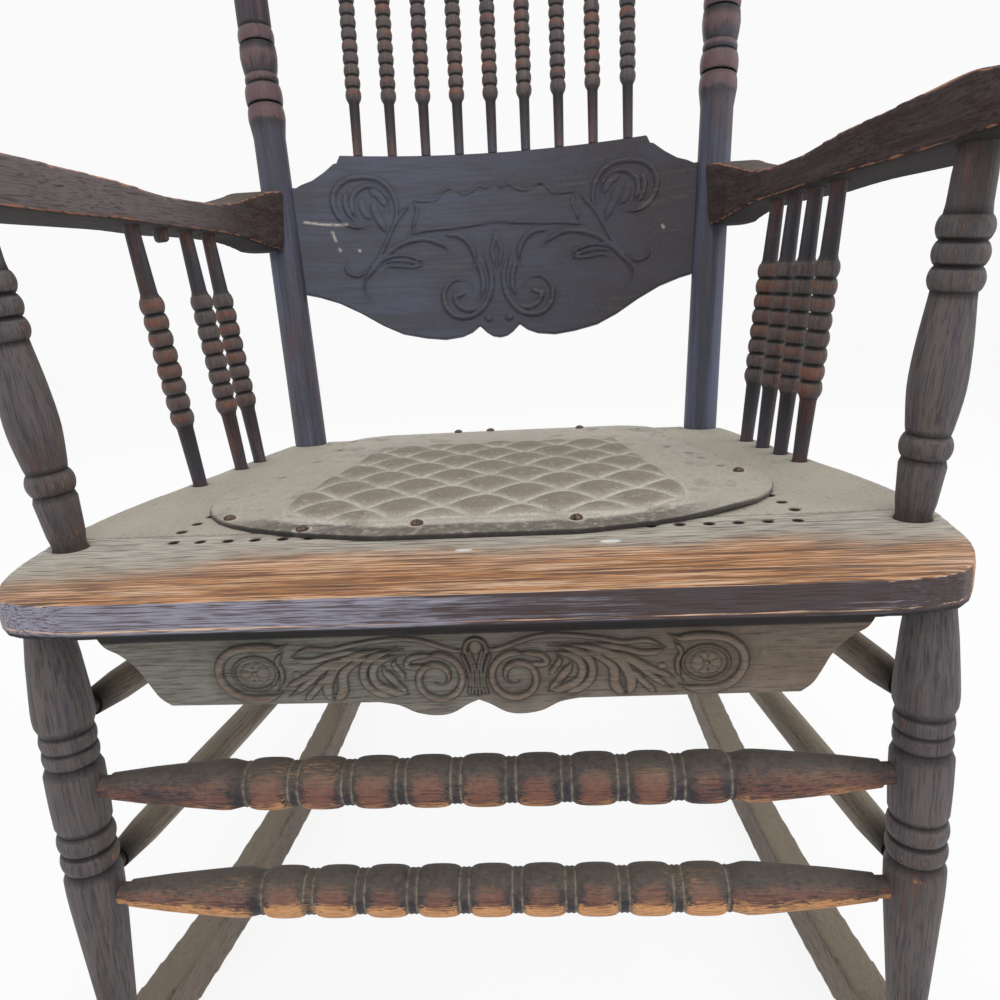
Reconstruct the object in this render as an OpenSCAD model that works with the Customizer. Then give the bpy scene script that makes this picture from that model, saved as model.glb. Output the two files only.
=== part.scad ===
// Armchair rocker with a pressed back panel, bobbin spindles and an embossed seat panel.
// Origin: on the floor, under the middle of the seat's front edge. +Y runs to the back.
// Left and right are as seen from the front.

/* [Seat] */
// Height of the seat's top above the floor
seat_h = 385; // [365:1:410]
// Width of the seat at its widest
seat_w = 552; // [530:1:580]
// Depth of the seat
seat_d = 437; // [420:1:460]
// Thickness of the seat boards
seat_t = 20; // [18:0.5:26]
// Depth of the front board
front_board_d = 115; // [100:1:125]
// Depth of the back board at the middle
back_board_d = 42; // [36:1:48]
// Width of the side boards at the opening's front
side_board_front = 91; // [86:1:100]
// Width that the side boards gain to the opening's back
side_board_gain = 49; // [40:1:60]
// Radius of the opening's front corners
opening_corner_r = 70; // [40:1:80]
// Distance between the cane holes
cane_pitch = 17.5; // [14:0.5:22]
// Bore of a cane hole
cane_d = 6; // [4:0.5:7]
// Distance of the cane holes from the opening
cane_margin = 14; // [11:0.5:16]

/* [Embossed seat panel] */
// Distance of the embossed panel from the seat's widest side
panel_side = 74; // [70:1:81]
// Distance of the embossed panel from the seat's front edge
panel_inset = 88; // [84:1:92]
// Distance of the embossed panel from the seat's back edge
panel_back = 9; // [6:1:14]
// Thickness of the embossed panel at its rim
panel_t = 3; // [2:0.5:5]
// Width of one diamond tuft
tuft_pitch = 52; // [40:1:60]
// Height of a tuft
tuft_h = 5; // [3:0.5:8]

/* [Runners] */
// Radius of the runners' curved top
runner_r = 1353; // [1250:1:1600]
// Width of a runner
runner_w = 27; // [25:1:32]
// Height of a runner
runner_h = 34; // [30:1:40]
// Distance of the runners' lowest point behind the seat's front edge
runner_low_y = 298; // [285:1:312]
// Distance from a runner's lowest point to its front tip
runner_fore = 345; // [320:1:370]
// Distance from a runner's lowest point to its back tip
runner_aft = 452; // [400:1:480]

/* [Legs and stretchers] */
// Distance of the front legs behind the seat's front edge
front_leg_y = 46; // [40:1:52]
// Distance of the front legs at the seat from its widest side
front_leg_inset = 29; // [26:1:36]
// How far the front feet stand outside the tops of their legs
front_foot_splay = 9; // [4:1:14]
// Greatest diameter of a front leg
front_leg_d = 34; // [32:0.5:38]
// How far the back feet stand behind the tops of their legs
rear_foot_rake = 124; // [112:1:136]
// How far the back feet stand outside the tops of their legs
rear_foot_splay = 30; // [22:1:36]
// Distance of the back legs at the seat from its back edge
rear_leg_inset = 49; // [45:1:57]
// Distance of the back legs at the seat from its widest side
rear_leg_side = 84; // [78:1:90]
// Greatest diameter of a back leg
rear_leg_d = 34; // [30:0.5:38]
// Depth of the upper front stretcher under the seat's top
upper_stretcher_drop = 137; // [130:1:145]
// Depth of the lower front stretcher under the seat's top
lower_stretcher_drop = 215; // [205:1:225]
// Diameter of the front stretchers' beads
stretcher_bead_d = 30.5; // [28:0.5:33]
// Length of one bead of a front stretcher
stretcher_pitch = 32.1; // [30:0.1:34]
// Number of beads on a front stretcher
stretcher_beads = 9; // [7:2:9]
// Depth of the upper side stretchers under the seat's top
upper_side_drop = 92; // [85:1:100]
// Depth of the lower side stretchers under the seat's top
lower_side_drop = 206; // [200:1:212]
// Diameter of the side stretchers
side_stretcher_d = 23; // [20:0.5:26]

/* [Apron] */
// Distance of the apron's face behind the seat's front edge
apron_y = 40; // [36:1:46]
// Thickness of the apron
apron_t = 16; // [12:0.5:18]
// Distance of the apron's ends from the seat's widest side
apron_inset = 56; // [53:1:66]
// Depth of the apron's straight bottom under the seat's top
apron_drop = 82; // [76:1:88]
// How far the apron's lobes hang below its straight bottom
apron_lobe = 10; // [6:0.5:14]

/* [Back] */
// Distance of the back posts from the seat's back edge
post_inset = 17; // [15:1:23]
// Distance of the back posts at the seat from its widest side
post_side = 81; // [76:1:88]
// Lean of the back to the rear, in degrees
lean = 11.46; // [8:0.1:14]
// Spread of each post to the side, in degrees
spread = 4.51; // [3:0.1:6]
// Diameter of a back post
post_d = 31; // [29:0.5:34]
// Diameter of a post's ball turnings
ball_d = 36; // [34:0.5:39]
// Length of a back post above the seat
post_len = 690; // [675:1:720]
// Length of a post's plain part
post_plain = 304; // [296:1:310]
// Height of the back panel's top edge above the seat
back_panel_top = 288; // [280:1:292]
// Height of the back panel's lobes above the seat
back_panel_low = 102; // [96:1:110]
// Thickness of the back panel
back_panel_t = 11; // [10:0.5:14]
// How far the back panel bows to the rear
back_bow = 37; // [30:1:44]
// Height of the crest rail's bottom edge above the seat
crest_low = 566; // [560:1:580]
// Height of the crest rail's top above the seat
crest_top = 684; // [670:1:700]
// Thickness of the crest rail
crest_t = 15; // [13:0.5:18]
// How far the crest rail bows to the rear
crest_bow = 44; // [38:1:50]
// Distance between the back spindles at the panel
spindle_pitch = 34; // [32:0.5:35]
// Extra distance between the back spindles at the crest rail
spindle_fan = 2.1; // [0:0.1:4]
// Diameter of a back spindle's beads
spindle_bead_d = 16; // [14:0.5:18]
// Length of one bead of a back spindle
spindle_bead_l = 12; // [11:0.1:13]
// Number of beads on a back spindle
spindle_beads = 14; // [9:1:15]

/* [Arms] */
// Height of the arm's underside above the seat
arm_h = 201; // [192:1:210]
// Height of the arm where it meets the back post
arm_heel_h = 60; // [54:1:66]
// Distance of the arm's inner edge from the seat's widest side
arm_inset = 45; // [41:1:49]
// Width of the arm at its middle
arm_w = 56; // [50:1:62]
// Diameter of an arm spindle's beads
arm_bead_d = 18; // [16:0.5:20]
// Length of one bead of an arm spindle
arm_bead_l = 12.5; // [11:0.1:13.5]
// Number of beads on an arm spindle
arm_beads = 8; // [6:1:9]
// Distance of the arm's front post behind the seat's front edge
arm_post_y = 98; // [90:1:102]
// Distance of the front arm posts from the seat's widest side
arm_post_inset = 18; // [16:1:26]
// Diameter of a front arm post
arm_post_d = 30; // [26:0.5:32]

/* [Hidden] */
left = -1;
right = 1;
// Gap round a tenon, and past its end.
fit_gap = 0.2;
end_gap = 0.3;
// How far a cut runs past the face that it opens.
overrun = 5;
// A slanted bore's seam is turned away from where the bore meets a flat face.
seam_turn = 90;
$fn = 48;
arc_fn = 200;
bead_steps = 6;
bead_share = 0.7;
lead_share = 0.22;
groove_share = 0.78;
shoulder_share = 0.9;

// Tenon diameters and depths.
post_depth = 15;
leg_top_d = 24;
leg_top_depth = 13;
foot_d = 18;
foot_depth = 22;
foot_straight = 8;
rung_d = 13;
front_rung_depth = 13;
side_rung_depth = 9;
spindle_pin_d = 7;
spindle_pin_l = 10;
spindle_shaft_d = 10.5;
arm_pin_d = 11;
arm_pin_l = 11;
arm_pin_bare = 5;
arm_shaft_d = 12.5;
arm_post_pin_d = 20;
arm_post_pin_l = 12;
arm_post_pin_bare = 2.5;
panel_tenon = 6;
dowel_d = 9;
dowel_l = 36;
pin_d = 6;
pin_inset = 0.5;
screw_d = 4.5;
screw_head_d = 9;
screw_head_l = 3.5;
screw_reach = 5;
tack_d = 8;
tack_h = 2.6;
tack_dome_d = 11;
tack_shank_d = 1.6;
tack_shank_l = 9;
block_w = 44;
block_h = 18;
block_inset = 3;

// Where the broken spindle ends under the left arm.
stub_l = 9;

// Places measured from the seat's widest side and its back edge.
seat_half = seat_w / 2;
opening_front = seat_half - side_board_front;
opening_back = opening_front - side_board_gain;
panel_w = 2 * (seat_half - panel_side);
post_x = seat_half - post_side;
rear_leg_x = seat_half - rear_leg_side;
front_leg_x = seat_half - front_leg_inset;
front_foot_x = front_leg_x + front_foot_splay;
rear_foot_x = rear_leg_x + rear_foot_splay;
apron_half = seat_half - apron_inset;
arm_inner_x = seat_half - arm_inset;
arm_post_x = seat_half - arm_post_inset;
panel_d = seat_d - panel_inset - panel_back;
post_y = seat_d - post_inset;
rear_leg_y = seat_d - rear_leg_inset;
rear_foot_y = rear_leg_y + rear_foot_rake;

// Curves and helpers.

function lerp(a, b, t) = a + (b - a) * t;
function clamp01(t) = max(0, min(1, t));

function spline_point(a, b, c, d, t) =
    b + t * (c - a) / 2
      + t * t * (2 * a - 5 * b + 4 * c - d) / 2
      + t * t * t * (3 * b - a - 3 * c + d) / 2;

// A smooth line through the points p, with n steps between neighbours.
function smooth(p, n) = [
    for (i = [0 : len(p) - 2])
        for (k = [0 : n - 1])
            spline_point(p[max(i - 1, 0)], p[i], p[i + 1], p[min(i + 2, len(p) - 1)], k / n),
    p[len(p) - 1]];

function scaled(p, sx, sy) = [for (q = p) [q[0] * sx, q[1] * sy]];
function flipped(p) = [for (i = [len(p) - 1 : -1 : 0]) [-p[i][0], p[i][1]]];
// Shares of a radius and a length, as a profile that starts at the height z.
function shaped(shares, r, z, l) = [for (q = shares) [q[0] * r, z + q[1] * l]];

// Draws its children with +Z running from a to b.
module along(a, b) {
    v = b - a;
    translate(a)
        rotate([0, acos(v[2] / norm(v)), atan2(v[1], v[0])])
            children();
}

// Draws its children once a side: side is -1 or 1.
module on_side(side) {
    if (side > 0) children();
    else mirror([1, 0, 0]) children();
}

// A row of n beads from height z, each h long, from radius r0 out to r1.
function beads(z, n, h, r0, r1) = [
    for (j = [0 : n * bead_steps])
        [r0 + (r1 - r0) * pow(abs(sin(180 * j / bead_steps)), bead_share), z + j * h / bead_steps]];

// A turned solid. Its profile is a list of [radius, height] from the bottom up.
module turned(profile) {
    rotate_extrude()
        polygon(concat(
            [[0, profile[0][1]]],
            profile,
            [[0, profile[len(profile) - 1][1]]]));
}

// A bobbin spindle l long between its seats, with a pin at both ends.
function bobbin(l, n, bead_l, bead_d, shaft_d, pin_d, pin_l) =
    let (start = (l - n * bead_l) / 2, groove = bead_d / 2 * groove_share, lead = bead_l * lead_share,
         shoulder = shaft_d / 2 * shoulder_share)
    concat(
        [[pin_d / 2, -pin_l + end_gap], [pin_d / 2, end_gap], [shoulder, end_gap],
         [shaft_d / 2, start - lead], [groove, start]],
        beads(start, n, bead_l, groove, bead_d / 2),
        [[shaft_d / 2, l - start + lead], [shoulder, l - end_gap],
         [pin_d / 2, l - end_gap], [pin_d / 2, l + pin_l - end_gap]]);

// Seat.

// The seat's right half, as shares of its half width and its depth.
seat_shares = [[0.74, 0], [0.88, 0.018], [0.957, 0.09], [0.99, 0.18], [1, 0.275], [0.978, 0.42],
    [0.915, 0.58], [0.853, 0.74], [0.80, 0.875], [0.765, 0.945], [0.70, 0.972]];
// The seat's back edge, from its right end to the middle.
seat_back_shares = [[0.3, 0.986], [0, 1]];
seat_steps = 3;
opening_back_y = seat_d - back_board_d;
side_cane_slope = (opening_front - opening_back) / (opening_back_y - front_board_d);

function opening_x(y) = opening_front - (y - front_board_d) * side_cane_slope;

module seat_outline() {
    half = concat(smooth(scaled(seat_shares, seat_half, seat_d), seat_steps),
        scaled(seat_back_shares, seat_half, seat_d));
    polygon(concat(half, flipped(half)));
}

module seat_slab() {
    translate([0, 0, seat_h - seat_t])
        linear_extrude(seat_t)
            intersection() {
                seat_outline();
                children();
            }
}

module band(y0, y1, half) {
    translate([-half, y0]) square([2 * half, y1 - y0]);
}

// The side board's own piece of the seat: outside the opening, behind the front board.
corner_steps = 8;

module side_zone() {
    corner = [for (i = [0 : corner_steps])
        let (a = 90 * i / corner_steps, y = front_board_d + opening_corner_r * (1 - cos(a)))
        [opening_x(y) - opening_corner_r * (1 - sin(a)), y]];
    polygon(concat(
        [[opening_x(seat_d + overrun), seat_d + overrun], [seat_w, seat_d + overrun],
         [seat_w, front_board_d]],
        corner));
}

module back_zone() {
    polygon([[opening_back, opening_back_y], [opening_x(seat_d + overrun), seat_d + overrun],
        [-opening_x(seat_d + overrun), seat_d + overrun], [-opening_back, opening_back_y]]);
}

module hole(p, d) {
    translate([p[0], p[1], seat_h - seat_t - overrun])
        cylinder(d = d, h = seat_t + 2 * overrun);
}

front_row_y = front_board_d - cane_margin;
front_row_half = opening_front + cane_margin;
front_holes = floor(front_row_half / cane_pitch);

module front_cane_holes() {
    for (i = [-front_holes : front_holes]) hole([i * cane_pitch, front_row_y], cane_d);
}

side_holes = floor((opening_back_y - front_board_d) / cane_pitch);
first_hole_share = 0.5;

module side_cane_holes() {
    for (i = [1 : side_holes]) {
        y = front_board_d + (i - first_hole_share) * cane_pitch;
        hole([opening_x(y) + cane_margin, y], cane_d);
    }
}

back_holes = floor((opening_back - cane_d) / cane_pitch);

module back_cane_holes() {
    for (i = [-back_holes : back_holes]) hole([i * cane_pitch, opening_back_y + cane_margin], cane_d);
}

// Dowels that join the boards: two at each front corner, between the opening and the arm post, and
// one at each back corner.
seat_mid_z = seat_h - seat_t / 2;
front_dowel_shares = [0.42, 0.8];
dowel_span = arm_post_x - arm_post_pin_d / 2 - opening_front;
back_dowel_share = 0.35;
back_dowel_y = seat_d - back_board_d * back_dowel_share;

module dowels(d, l) {
    for (side = [left, right]) {
        for (s = front_dowel_shares)
            translate([side * (opening_front + s * dowel_span), front_board_d - l / 2, seat_mid_z])
                rotate([-90, 0, 0]) cylinder(d = d, h = l);
        translate([side * opening_x(back_dowel_y) - l / 2, back_dowel_y, seat_mid_z])
            rotate([0, 90, 0]) cylinder(d = d, h = l);
    }
}

module dowel_bores() {
    dowels(dowel_d + 2 * fit_gap, dowel_l + 2 * end_gap);
}

module seat_front_board() {
    color("saddlebrown")
        difference() {
            seat_slab() band(0, front_board_d, seat_w);
            front_cane_holes();
            dowel_bores();
            tack_bores();
            on_side(right) leg_bore(front_leg_axis, seat_h - seat_t);
            on_side(left) leg_bore(front_leg_axis, seat_h - seat_t);
            for (side = [left, right])
                on_side(side) pin_bore(arm_post_head(), arm_post_foot(), arm_post_pin_d, arm_post_pin_l);
        }
}

module seat_side_board(side) {
    color("dimgray")
        difference() {
            on_side(side) seat_slab() side_zone();
            on_side(side) side_cane_holes();
            dowel_bores();
            tack_bores();
            on_side(side) leg_bore(rear_leg_axis, seat_h - seat_t);
            on_side(side) post_bore();
            for (i = [0 : last_spindle])
                if (side > 0 || i != broken)
                    on_side(side) pin_bore(arm_head(i), arm_foot(i), arm_pin_d, arm_pin_l);
        }
}

module seat_back_board() {
    color("dimgray")
        difference() {
            seat_slab() back_zone();
            back_cane_holes();
            dowel_bores();
            tack_bores();
        }
}

module seat_dowels() {
    color("burlywood") dowels(dowel_d, dowel_l);
}

// Embossed seat panel: a grid of rows from front to back, crowned and tufted.

// The panel's right edge, as shares of its half width and its depth.
panel_shares = [[0.31, 0], [0.525, 0.032], [0.733, 0.081], [0.881, 0.145], [0.97, 0.232], [1, 0.325],
    [0.97, 0.41], [0.911, 0.49], [0.866, 0.58], [0.832, 0.672], [0.80, 0.788], [0.765, 0.904],
    [0.70, 0.968], [0.58, 1]];
panel_edge = smooth(scaled(panel_shares, panel_w / 2, panel_d), 2);
panel_rows = len(panel_edge) - 1;
panel_cols = 36;
panel_floor = seat_h + end_gap;
panel_crown = 4;
// The tufted field: its front and back, and its half widths there, as shares.
field_front_share = 0.075;
field_back_share = 0.77;
field_wide_share = 0.71;
field_narrow_share = 0.53;
field_fade_share = 0.04;
tuft_share = 0.6;

// How far a place lies inside the tufted field, from 0 outside to 1 inside.
function field(x, y) =
    let (v = y / panel_d,
         half = lerp(field_wide_share, field_narrow_share,
             clamp01((v - field_front_share) / (field_back_share - field_front_share))),
         inside = min((v - field_front_share), (field_back_share - v), (half - abs(x) * 2 / panel_w)))
    clamp01(inside / field_fade_share);

function tuft(x, y) =
    pow(abs(cos(180 * (x + y) / tuft_pitch) * cos(180 * (x - y) / tuft_pitch)), tuft_share);

// The crown rises from the rim to the middle of the panel.
function crown(u, v) = sin(180 * clamp01(v)) * (1 - u * u);

function panel_top(x, y, u, v) = panel_t + panel_crown * crown(u, v) + tuft_h * tuft(x, y) * field(x, y);

module seat_panel() {
    top = [for (j = [0 : panel_rows]) for (i = [0 : panel_cols])
        let (u = 2 * i / panel_cols - 1, e = panel_edge[j], x = u * e[0], y = e[1])
        [x, panel_inset + y, panel_floor + panel_top(x, y, u, j / panel_rows)]];
    function id(i, j) = j * (panel_cols + 1) + i;
    rim = concat(
        [for (i = [0 : panel_cols]) id(i, 0)],
        [for (j = [1 : panel_rows]) id(panel_cols, j)],
        [for (i = [panel_cols - 1 : -1 : 0]) id(i, panel_rows)],
        [for (j = [panel_rows - 1 : -1 : 1]) id(0, j)]);
    n = len(top);
    m = len(rim);
    bottom = [for (k = rim) [top[k][0], top[k][1], panel_floor]];
    middle = [[0, panel_inset + panel_d / 2, panel_floor]];
    faces = concat(
        [for (j = [0 : panel_rows - 1]) for (i = [0 : panel_cols - 1]) each
            [[id(i, j), id(i, j + 1), id(i + 1, j + 1)], [id(i, j), id(i + 1, j + 1), id(i + 1, j)]]],
        [for (k = [0 : m - 1]) each
            let (a = rim[k], b = rim[(k + 1) % m], c = n + k, d = n + (k + 1) % m)
            [[a, b, d], [a, d, c], [c, d, n + m]]]);
    color("darkkhaki")
        difference() {
            polyhedron(points = concat(top, bottom, middle), faces = faces);
            tack_bores();
        }
}

// The tacks that are left round the embossed panel: each has a row of the panel's edge and its
// place across, as a share of the panel's half width. A head lies a hair above the panel.
tack_place_shares = [[3, -0.55], [3, -0.19], [3, 0.30], [6, -0.84], [11, 0.91],
    [24, 0.38], [25, -0.22], [25, -0.06]];
tack_lift = 0.25;
tack_heads = [for (t = tack_place_shares)
    let (e = panel_edge[t[0]], x = t[1] * panel_w / 2)
    [x, panel_inset + e[1], panel_floor + tack_lift + panel_top(x, e[1], x / e[0], t[0] / panel_rows)]];

module tack_bores() {
    for (p = tack_heads)
        translate([p[0], p[1], panel_floor - tack_shank_l - end_gap])
            cylinder(d = tack_shank_d + 2 * fit_gap, h = p[2] - panel_floor + tack_shank_l + overrun);
}

module panel_tacks() {
    color("sienna")
        for (p = tack_heads)
            translate(p) {
                intersection() {
                    translate([0, 0, tack_h - tack_dome_d / 2]) sphere(d = tack_dome_d);
                    cylinder(d = tack_d, h = tack_h);
                }
                translate([0, 0, panel_floor - p[2] - tack_shank_l])
                    cylinder(d = tack_shank_d, h = p[2] - panel_floor + tack_shank_l + tack_h / 2);
            }
}

// Apron under the seat's front edge.

apron_z = seat_h - seat_t;
apron_h = apron_drop - seat_t;
// The apron's bottom edge from the middle to the right, as shares of its half width and its lobe.
lobe_shares = [[0, 0.05], [0.03, 0.35], [0.072, 0.88], [0.115, 1], [0.165, 0.8], [0.21, 0.3],
    [0.26, 0.08]];
// The apron's end, as shares of its half width and its height.
apron_end_shares = [[0.818, 1], [0.846, 0.92], [0.866, 0.80], [0.893, 0.62], [0.935, 0.47],
    [0.975, 0.38], [1, 0.2], [1, 0]];
apron_steps = 3;

module apron_shape() {
    half = concat(
        [for (q = smooth(lobe_shares, apron_steps)) [q[0] * apron_half, -apron_h - q[1] * apron_lobe]],
        [for (q = smooth(apron_end_shares, apron_steps)) [q[0] * apron_half, -apron_h * q[1]]]);
    polygon(concat(half, flipped(half)));
}

module front_apron() {
    color("dimgray")
        translate([0, apron_y + apron_t, apron_z])
            rotate([90, 0, 0])
                linear_extrude(apron_t) apron_shape();
}

block_shares = [-0.62, 0, 0.62];

module apron_glue_blocks() {
    color("burlywood")
        for (s = block_shares)
            translate([s * apron_half - block_w / 2, apron_y + apron_t, apron_z])
                rotate([90, 0, 90])
                    linear_extrude(block_w)
                        polygon([[0, 0], [block_h, 0], [block_h, -block_inset],
                            [block_inset, -block_h], [0, -block_h]]);
}

// Runners: arcs whose lowest point lies under the chair's balance point.

runner_toe = atan((front_foot_x - rear_foot_x) / (rear_foot_y - front_leg_y));
runner_mid_x = front_foot_x - (runner_low_y - front_leg_y) * tan(runner_toe);

// Height of a runner's top above the floor at a distance y behind the seat's front edge.
function runner_z(y) = runner_h + runner_r - sqrt(pow(runner_r, 2) - pow(y - runner_low_y, 2));

tip_round_share = 0.45;
runner_steps = 28;

module runner_shape() {
    fore = asin(runner_fore / runner_r);
    aft = asin(runner_aft / runner_r);
    tip = runner_h * tip_round_share;
    inner = [for (i = [0 : runner_steps]) let (a = lerp(-fore, aft, i / runner_steps))
        runner_r * [sin(a), 1 - cos(a)]];
    outer_r = runner_r + runner_h;
    low_fore = asin((runner_fore - tip) / outer_r);
    low_aft = asin((runner_aft - tip) / outer_r);
    outer = [for (i = [0 : runner_steps]) let (a = lerp(low_aft, -low_fore, i / runner_steps))
        outer_r * [sin(a), 1 - cos(a)] + [0, -runner_h]];
    translate([0, runner_h]) polygon(concat(inner, outer));
}

module runner_body() {
    translate([runner_mid_x, runner_low_y, 0])
        rotate([0, 0, runner_toe])
            translate([-runner_w / 2, 0, 0])
                rotate([90, 0, 90])
                    linear_extrude(runner_w) runner_shape();
}

module runner(side) {
    color("dimgray")
        on_side(side)
            difference() {
                runner_body();
                foot_bore(front_leg_axis);
                foot_bore(rear_leg_axis);
                foot_pin(front_leg_axis, pin_d + 2 * fit_gap, overrun);
                foot_pin(rear_leg_axis, pin_d + 2 * fit_gap, overrun);
            }
}

// Legs. An axis is the foot's point on the runner's top and the point at the seat's underside.

front_leg_axis = [[front_foot_x, front_leg_y, runner_z(front_leg_y)],
    [front_leg_x, front_leg_y, seat_h - seat_t]];
rear_leg_axis = [[rear_foot_x, rear_foot_y, runner_z(rear_foot_y)],
    [rear_leg_x, rear_leg_y, seat_h - seat_t]];

function axis_dir(axis) = (axis[1] - axis[0]) / norm(axis[1] - axis[0]);
function axis_len(axis) = norm(axis[1] - axis[0]);
function axis_at(axis, z) = lerp(axis[0], axis[1], (z - axis[0][2]) / (axis[1][2] - axis[0][2]));

// The leg's tenons leave their seats at a slant, so each runs straight a little way outside.
module leg_bore(axis, z) {
    along(axis[1], axis[1] + axis_dir(axis))
        translate([0, 0, -overrun])
            rotate([0, 0, seam_turn])
                cylinder(d = leg_top_d + 2 * fit_gap, h = overrun + leg_top_depth + end_gap);
}

module foot_bore(axis) {
    along(axis[0], axis[0] + axis_dir(axis))
        translate([0, 0, -foot_depth - end_gap])
            cylinder(d = foot_d + 2 * fit_gap, h = foot_depth + end_gap + foot_straight);
}

// A pin through the runner and the leg's foot, from side to side.
pin_share = 0.55;

module foot_pin(axis, d, extra) {
    p = axis[0] - axis_dir(axis) * foot_depth * pin_share;
    translate(p)
        rotate([0, 0, runner_toe])
            rotate([0, 90, 0])
                translate([0, 0, -runner_w / 2 - extra]) cylinder(d = d, h = runner_w + 2 * extra);
}

module foot_pins() {
    color("burlywood")
        for (side = [left, right])
            on_side(side) {
                foot_pin(front_leg_axis, pin_d, -pin_inset);
                foot_pin(rear_leg_axis, pin_d, -pin_inset);
            }
}

// A turned leg, from the runner up: shares of its radius and its length, and its two pairs of beads
// as [start, length] shares of its length.
leg_ankle_shares = [[0.66, 0.08], [0.8, 0.2], [0.98, 0.36], [1, 0.42]];
leg_low_bead_shares = [0.44, 0.045];
leg_calf_shares = [[0.97, 0.545], [1, 0.6], [1, 0.66]];
leg_high_bead_shares = [0.68, 0.035];
leg_top_shares = [[0.99, 0.77], [1, 0.8], [0.86, 0.9]];
leg_groove_share = 0.86;
leg_ring_share = 0.94;

function leg_profile(l, d) =
    let (r = d / 2, groove = r * leg_groove_share, low = leg_low_bead_shares * l,
         high = leg_high_bead_shares * l)
    concat(
        [[foot_d / 2, -foot_depth], [foot_d / 2, foot_straight]],
        shaped(leg_ankle_shares, r, 0, l),
        beads(low[0], 2, low[1], groove, r),
        shaped(leg_calf_shares, r, 0, l),
        beads(high[0], 2, high[1], groove, r * leg_ring_share),
        shaped(leg_top_shares, r, 0, l),
        [[leg_top_d / 2, l - foot_straight], [leg_top_d / 2, l + leg_top_depth]]);

module front_leg(side) {
    color("saddlebrown")
        on_side(side)
            difference() {
                along(front_leg_axis[0], front_leg_axis[1])
                    turned(leg_profile(axis_len(front_leg_axis), front_leg_d));
                rung_bore(front_rung_ends(upper_stretcher_drop));
                rung_bore(front_rung_ends(lower_stretcher_drop));
                rung_bore(side_rung_front(upper_side_drop));
                rung_bore(side_rung_front(lower_side_drop));
                foot_pin(front_leg_axis, pin_d + 2 * fit_gap, overrun);
            }
}

module rear_leg(side) {
    color("saddlebrown")
        on_side(side)
            difference() {
                along(rear_leg_axis[0], rear_leg_axis[1])
                    turned(leg_profile(axis_len(rear_leg_axis), rear_leg_d));
                rung_bore(side_rung_rear(upper_side_drop));
                rung_bore(side_rung_rear(lower_side_drop));
                rung_bore(rear_rung_ends());
                foot_pin(rear_leg_axis, pin_d + 2 * fit_gap, overrun);
            }
}

// Stretchers. Each end is given as [the tenon's inner end, a point further along the rung].

side_slope_share = 0.045;
rear_stretcher_share = 0.45;

function front_leg_at(drop) = axis_at(front_leg_axis, seat_h - drop);
function rear_leg_at(drop) = axis_at(rear_leg_axis, seat_h - drop);
function toward(a, b, d) = a + (b - a) / norm(b - a) * d;

function front_rung_ends(drop) =
    let (p = front_leg_at(drop))
    [p - [front_leg_d / 2 - front_rung_depth, 0, 0], p - [front_leg_d, 0, 0]];

function side_drop_rear(drop) = drop + (rear_foot_y - front_leg_y) * side_slope_share;
function side_rung_front(drop) =
    let (a = front_leg_at(drop), b = rear_leg_at(side_drop_rear(drop)))
    [toward(a, b, front_leg_d / 2 - side_rung_depth), toward(a, b, front_leg_d)];
function side_rung_rear(drop) =
    let (a = front_leg_at(drop), b = rear_leg_at(side_drop_rear(drop)))
    [toward(b, a, rear_leg_d / 2 - side_rung_depth), toward(b, a, rear_leg_d)];

rear_drop = lerp(seat_t, seat_h, rear_stretcher_share);
function rear_rung_ends() =
    let (p = rear_leg_at(rear_drop))
    [p - [rear_leg_d / 2 - front_rung_depth, 0, 0], p - [rear_leg_d, 0, 0]];

module rung_bore(ends) {
    along(ends[0], ends[1])
        translate([0, 0, -end_gap])
            cylinder(d = rung_d + 2 * fit_gap, h = norm(ends[1] - ends[0]) + end_gap);
}

// How far a rung's tenon is bare outside its leg before the rung swells.
rung_bare = 6;
rung_neck_d = 16;

// A front stretcher's taper, from its bare end in to its first bead: shares of its radius and of
// that distance.
stretcher_end_shares = [[0.72, 0.3], [0.95, 0.78], [0.97, 0.9]];
stretcher_groove_share = 0.84;

function front_stretcher_profile(half) =
    let (zone = stretcher_beads * stretcher_pitch / 2, r = stretcher_bead_d / 2,
         bare = half - front_rung_depth - rung_bare,
         taper = shaped(stretcher_end_shares, r, -bare, bare - zone))
    concat(
        [[rung_d / 2, -half], [rung_d / 2, -bare], [rung_neck_d / 2, -bare]],
        taper,
        beads(-zone, stretcher_beads, stretcher_pitch, r * stretcher_groove_share, r),
        [for (i = [len(taper) - 1 : -1 : 0]) [taper[i][0], -taper[i][1]]],
        [[rung_neck_d / 2, bare], [rung_d / 2, bare], [rung_d / 2, half]]);

module front_stretcher(drop) {
    half = front_rung_ends(drop)[0][0];
    color("saddlebrown")
        translate([0, front_leg_y, seat_h - drop])
            rotate([0, 90, 0]) turned(front_stretcher_profile(half));
}

// A plain round rung between two points: its swell in shares of its radius and its bare length.
rung_shares = [[0.9, 0.08], [1, 0.35], [1, 0.65], [0.9, 0.92]];

module plain_rung(a, b, d, depth) {
    l = norm(b - a);
    bare = depth + rung_bare;
    color("dimgray")
        along(a, b)
            turned(concat(
                [[rung_d / 2, 0], [rung_d / 2, bare], [rung_neck_d / 2, bare]],
                shaped(rung_shares, d / 2, bare, l - 2 * bare),
                [[rung_neck_d / 2, l - bare], [rung_d / 2, l - bare], [rung_d / 2, l]]));
}

module side_stretcher(drop, side) {
    on_side(side)
        plain_rung(side_rung_front(drop)[0], side_rung_rear(drop)[0], side_stretcher_d, side_rung_depth);
}

module rear_stretcher() {
    p = rear_rung_ends()[0];
    plain_rung([-p[0], p[1], p[2]], p, side_stretcher_d, front_rung_depth);
}

// The back leans: its pieces are drawn upright from the seat and tipped together.

module back_frame() {
    translate([0, post_y, seat_h])
        rotate([-lean, 0, 0])
            children();
}

function post_axis_x(z) = post_x + z * tan(spread);

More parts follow.
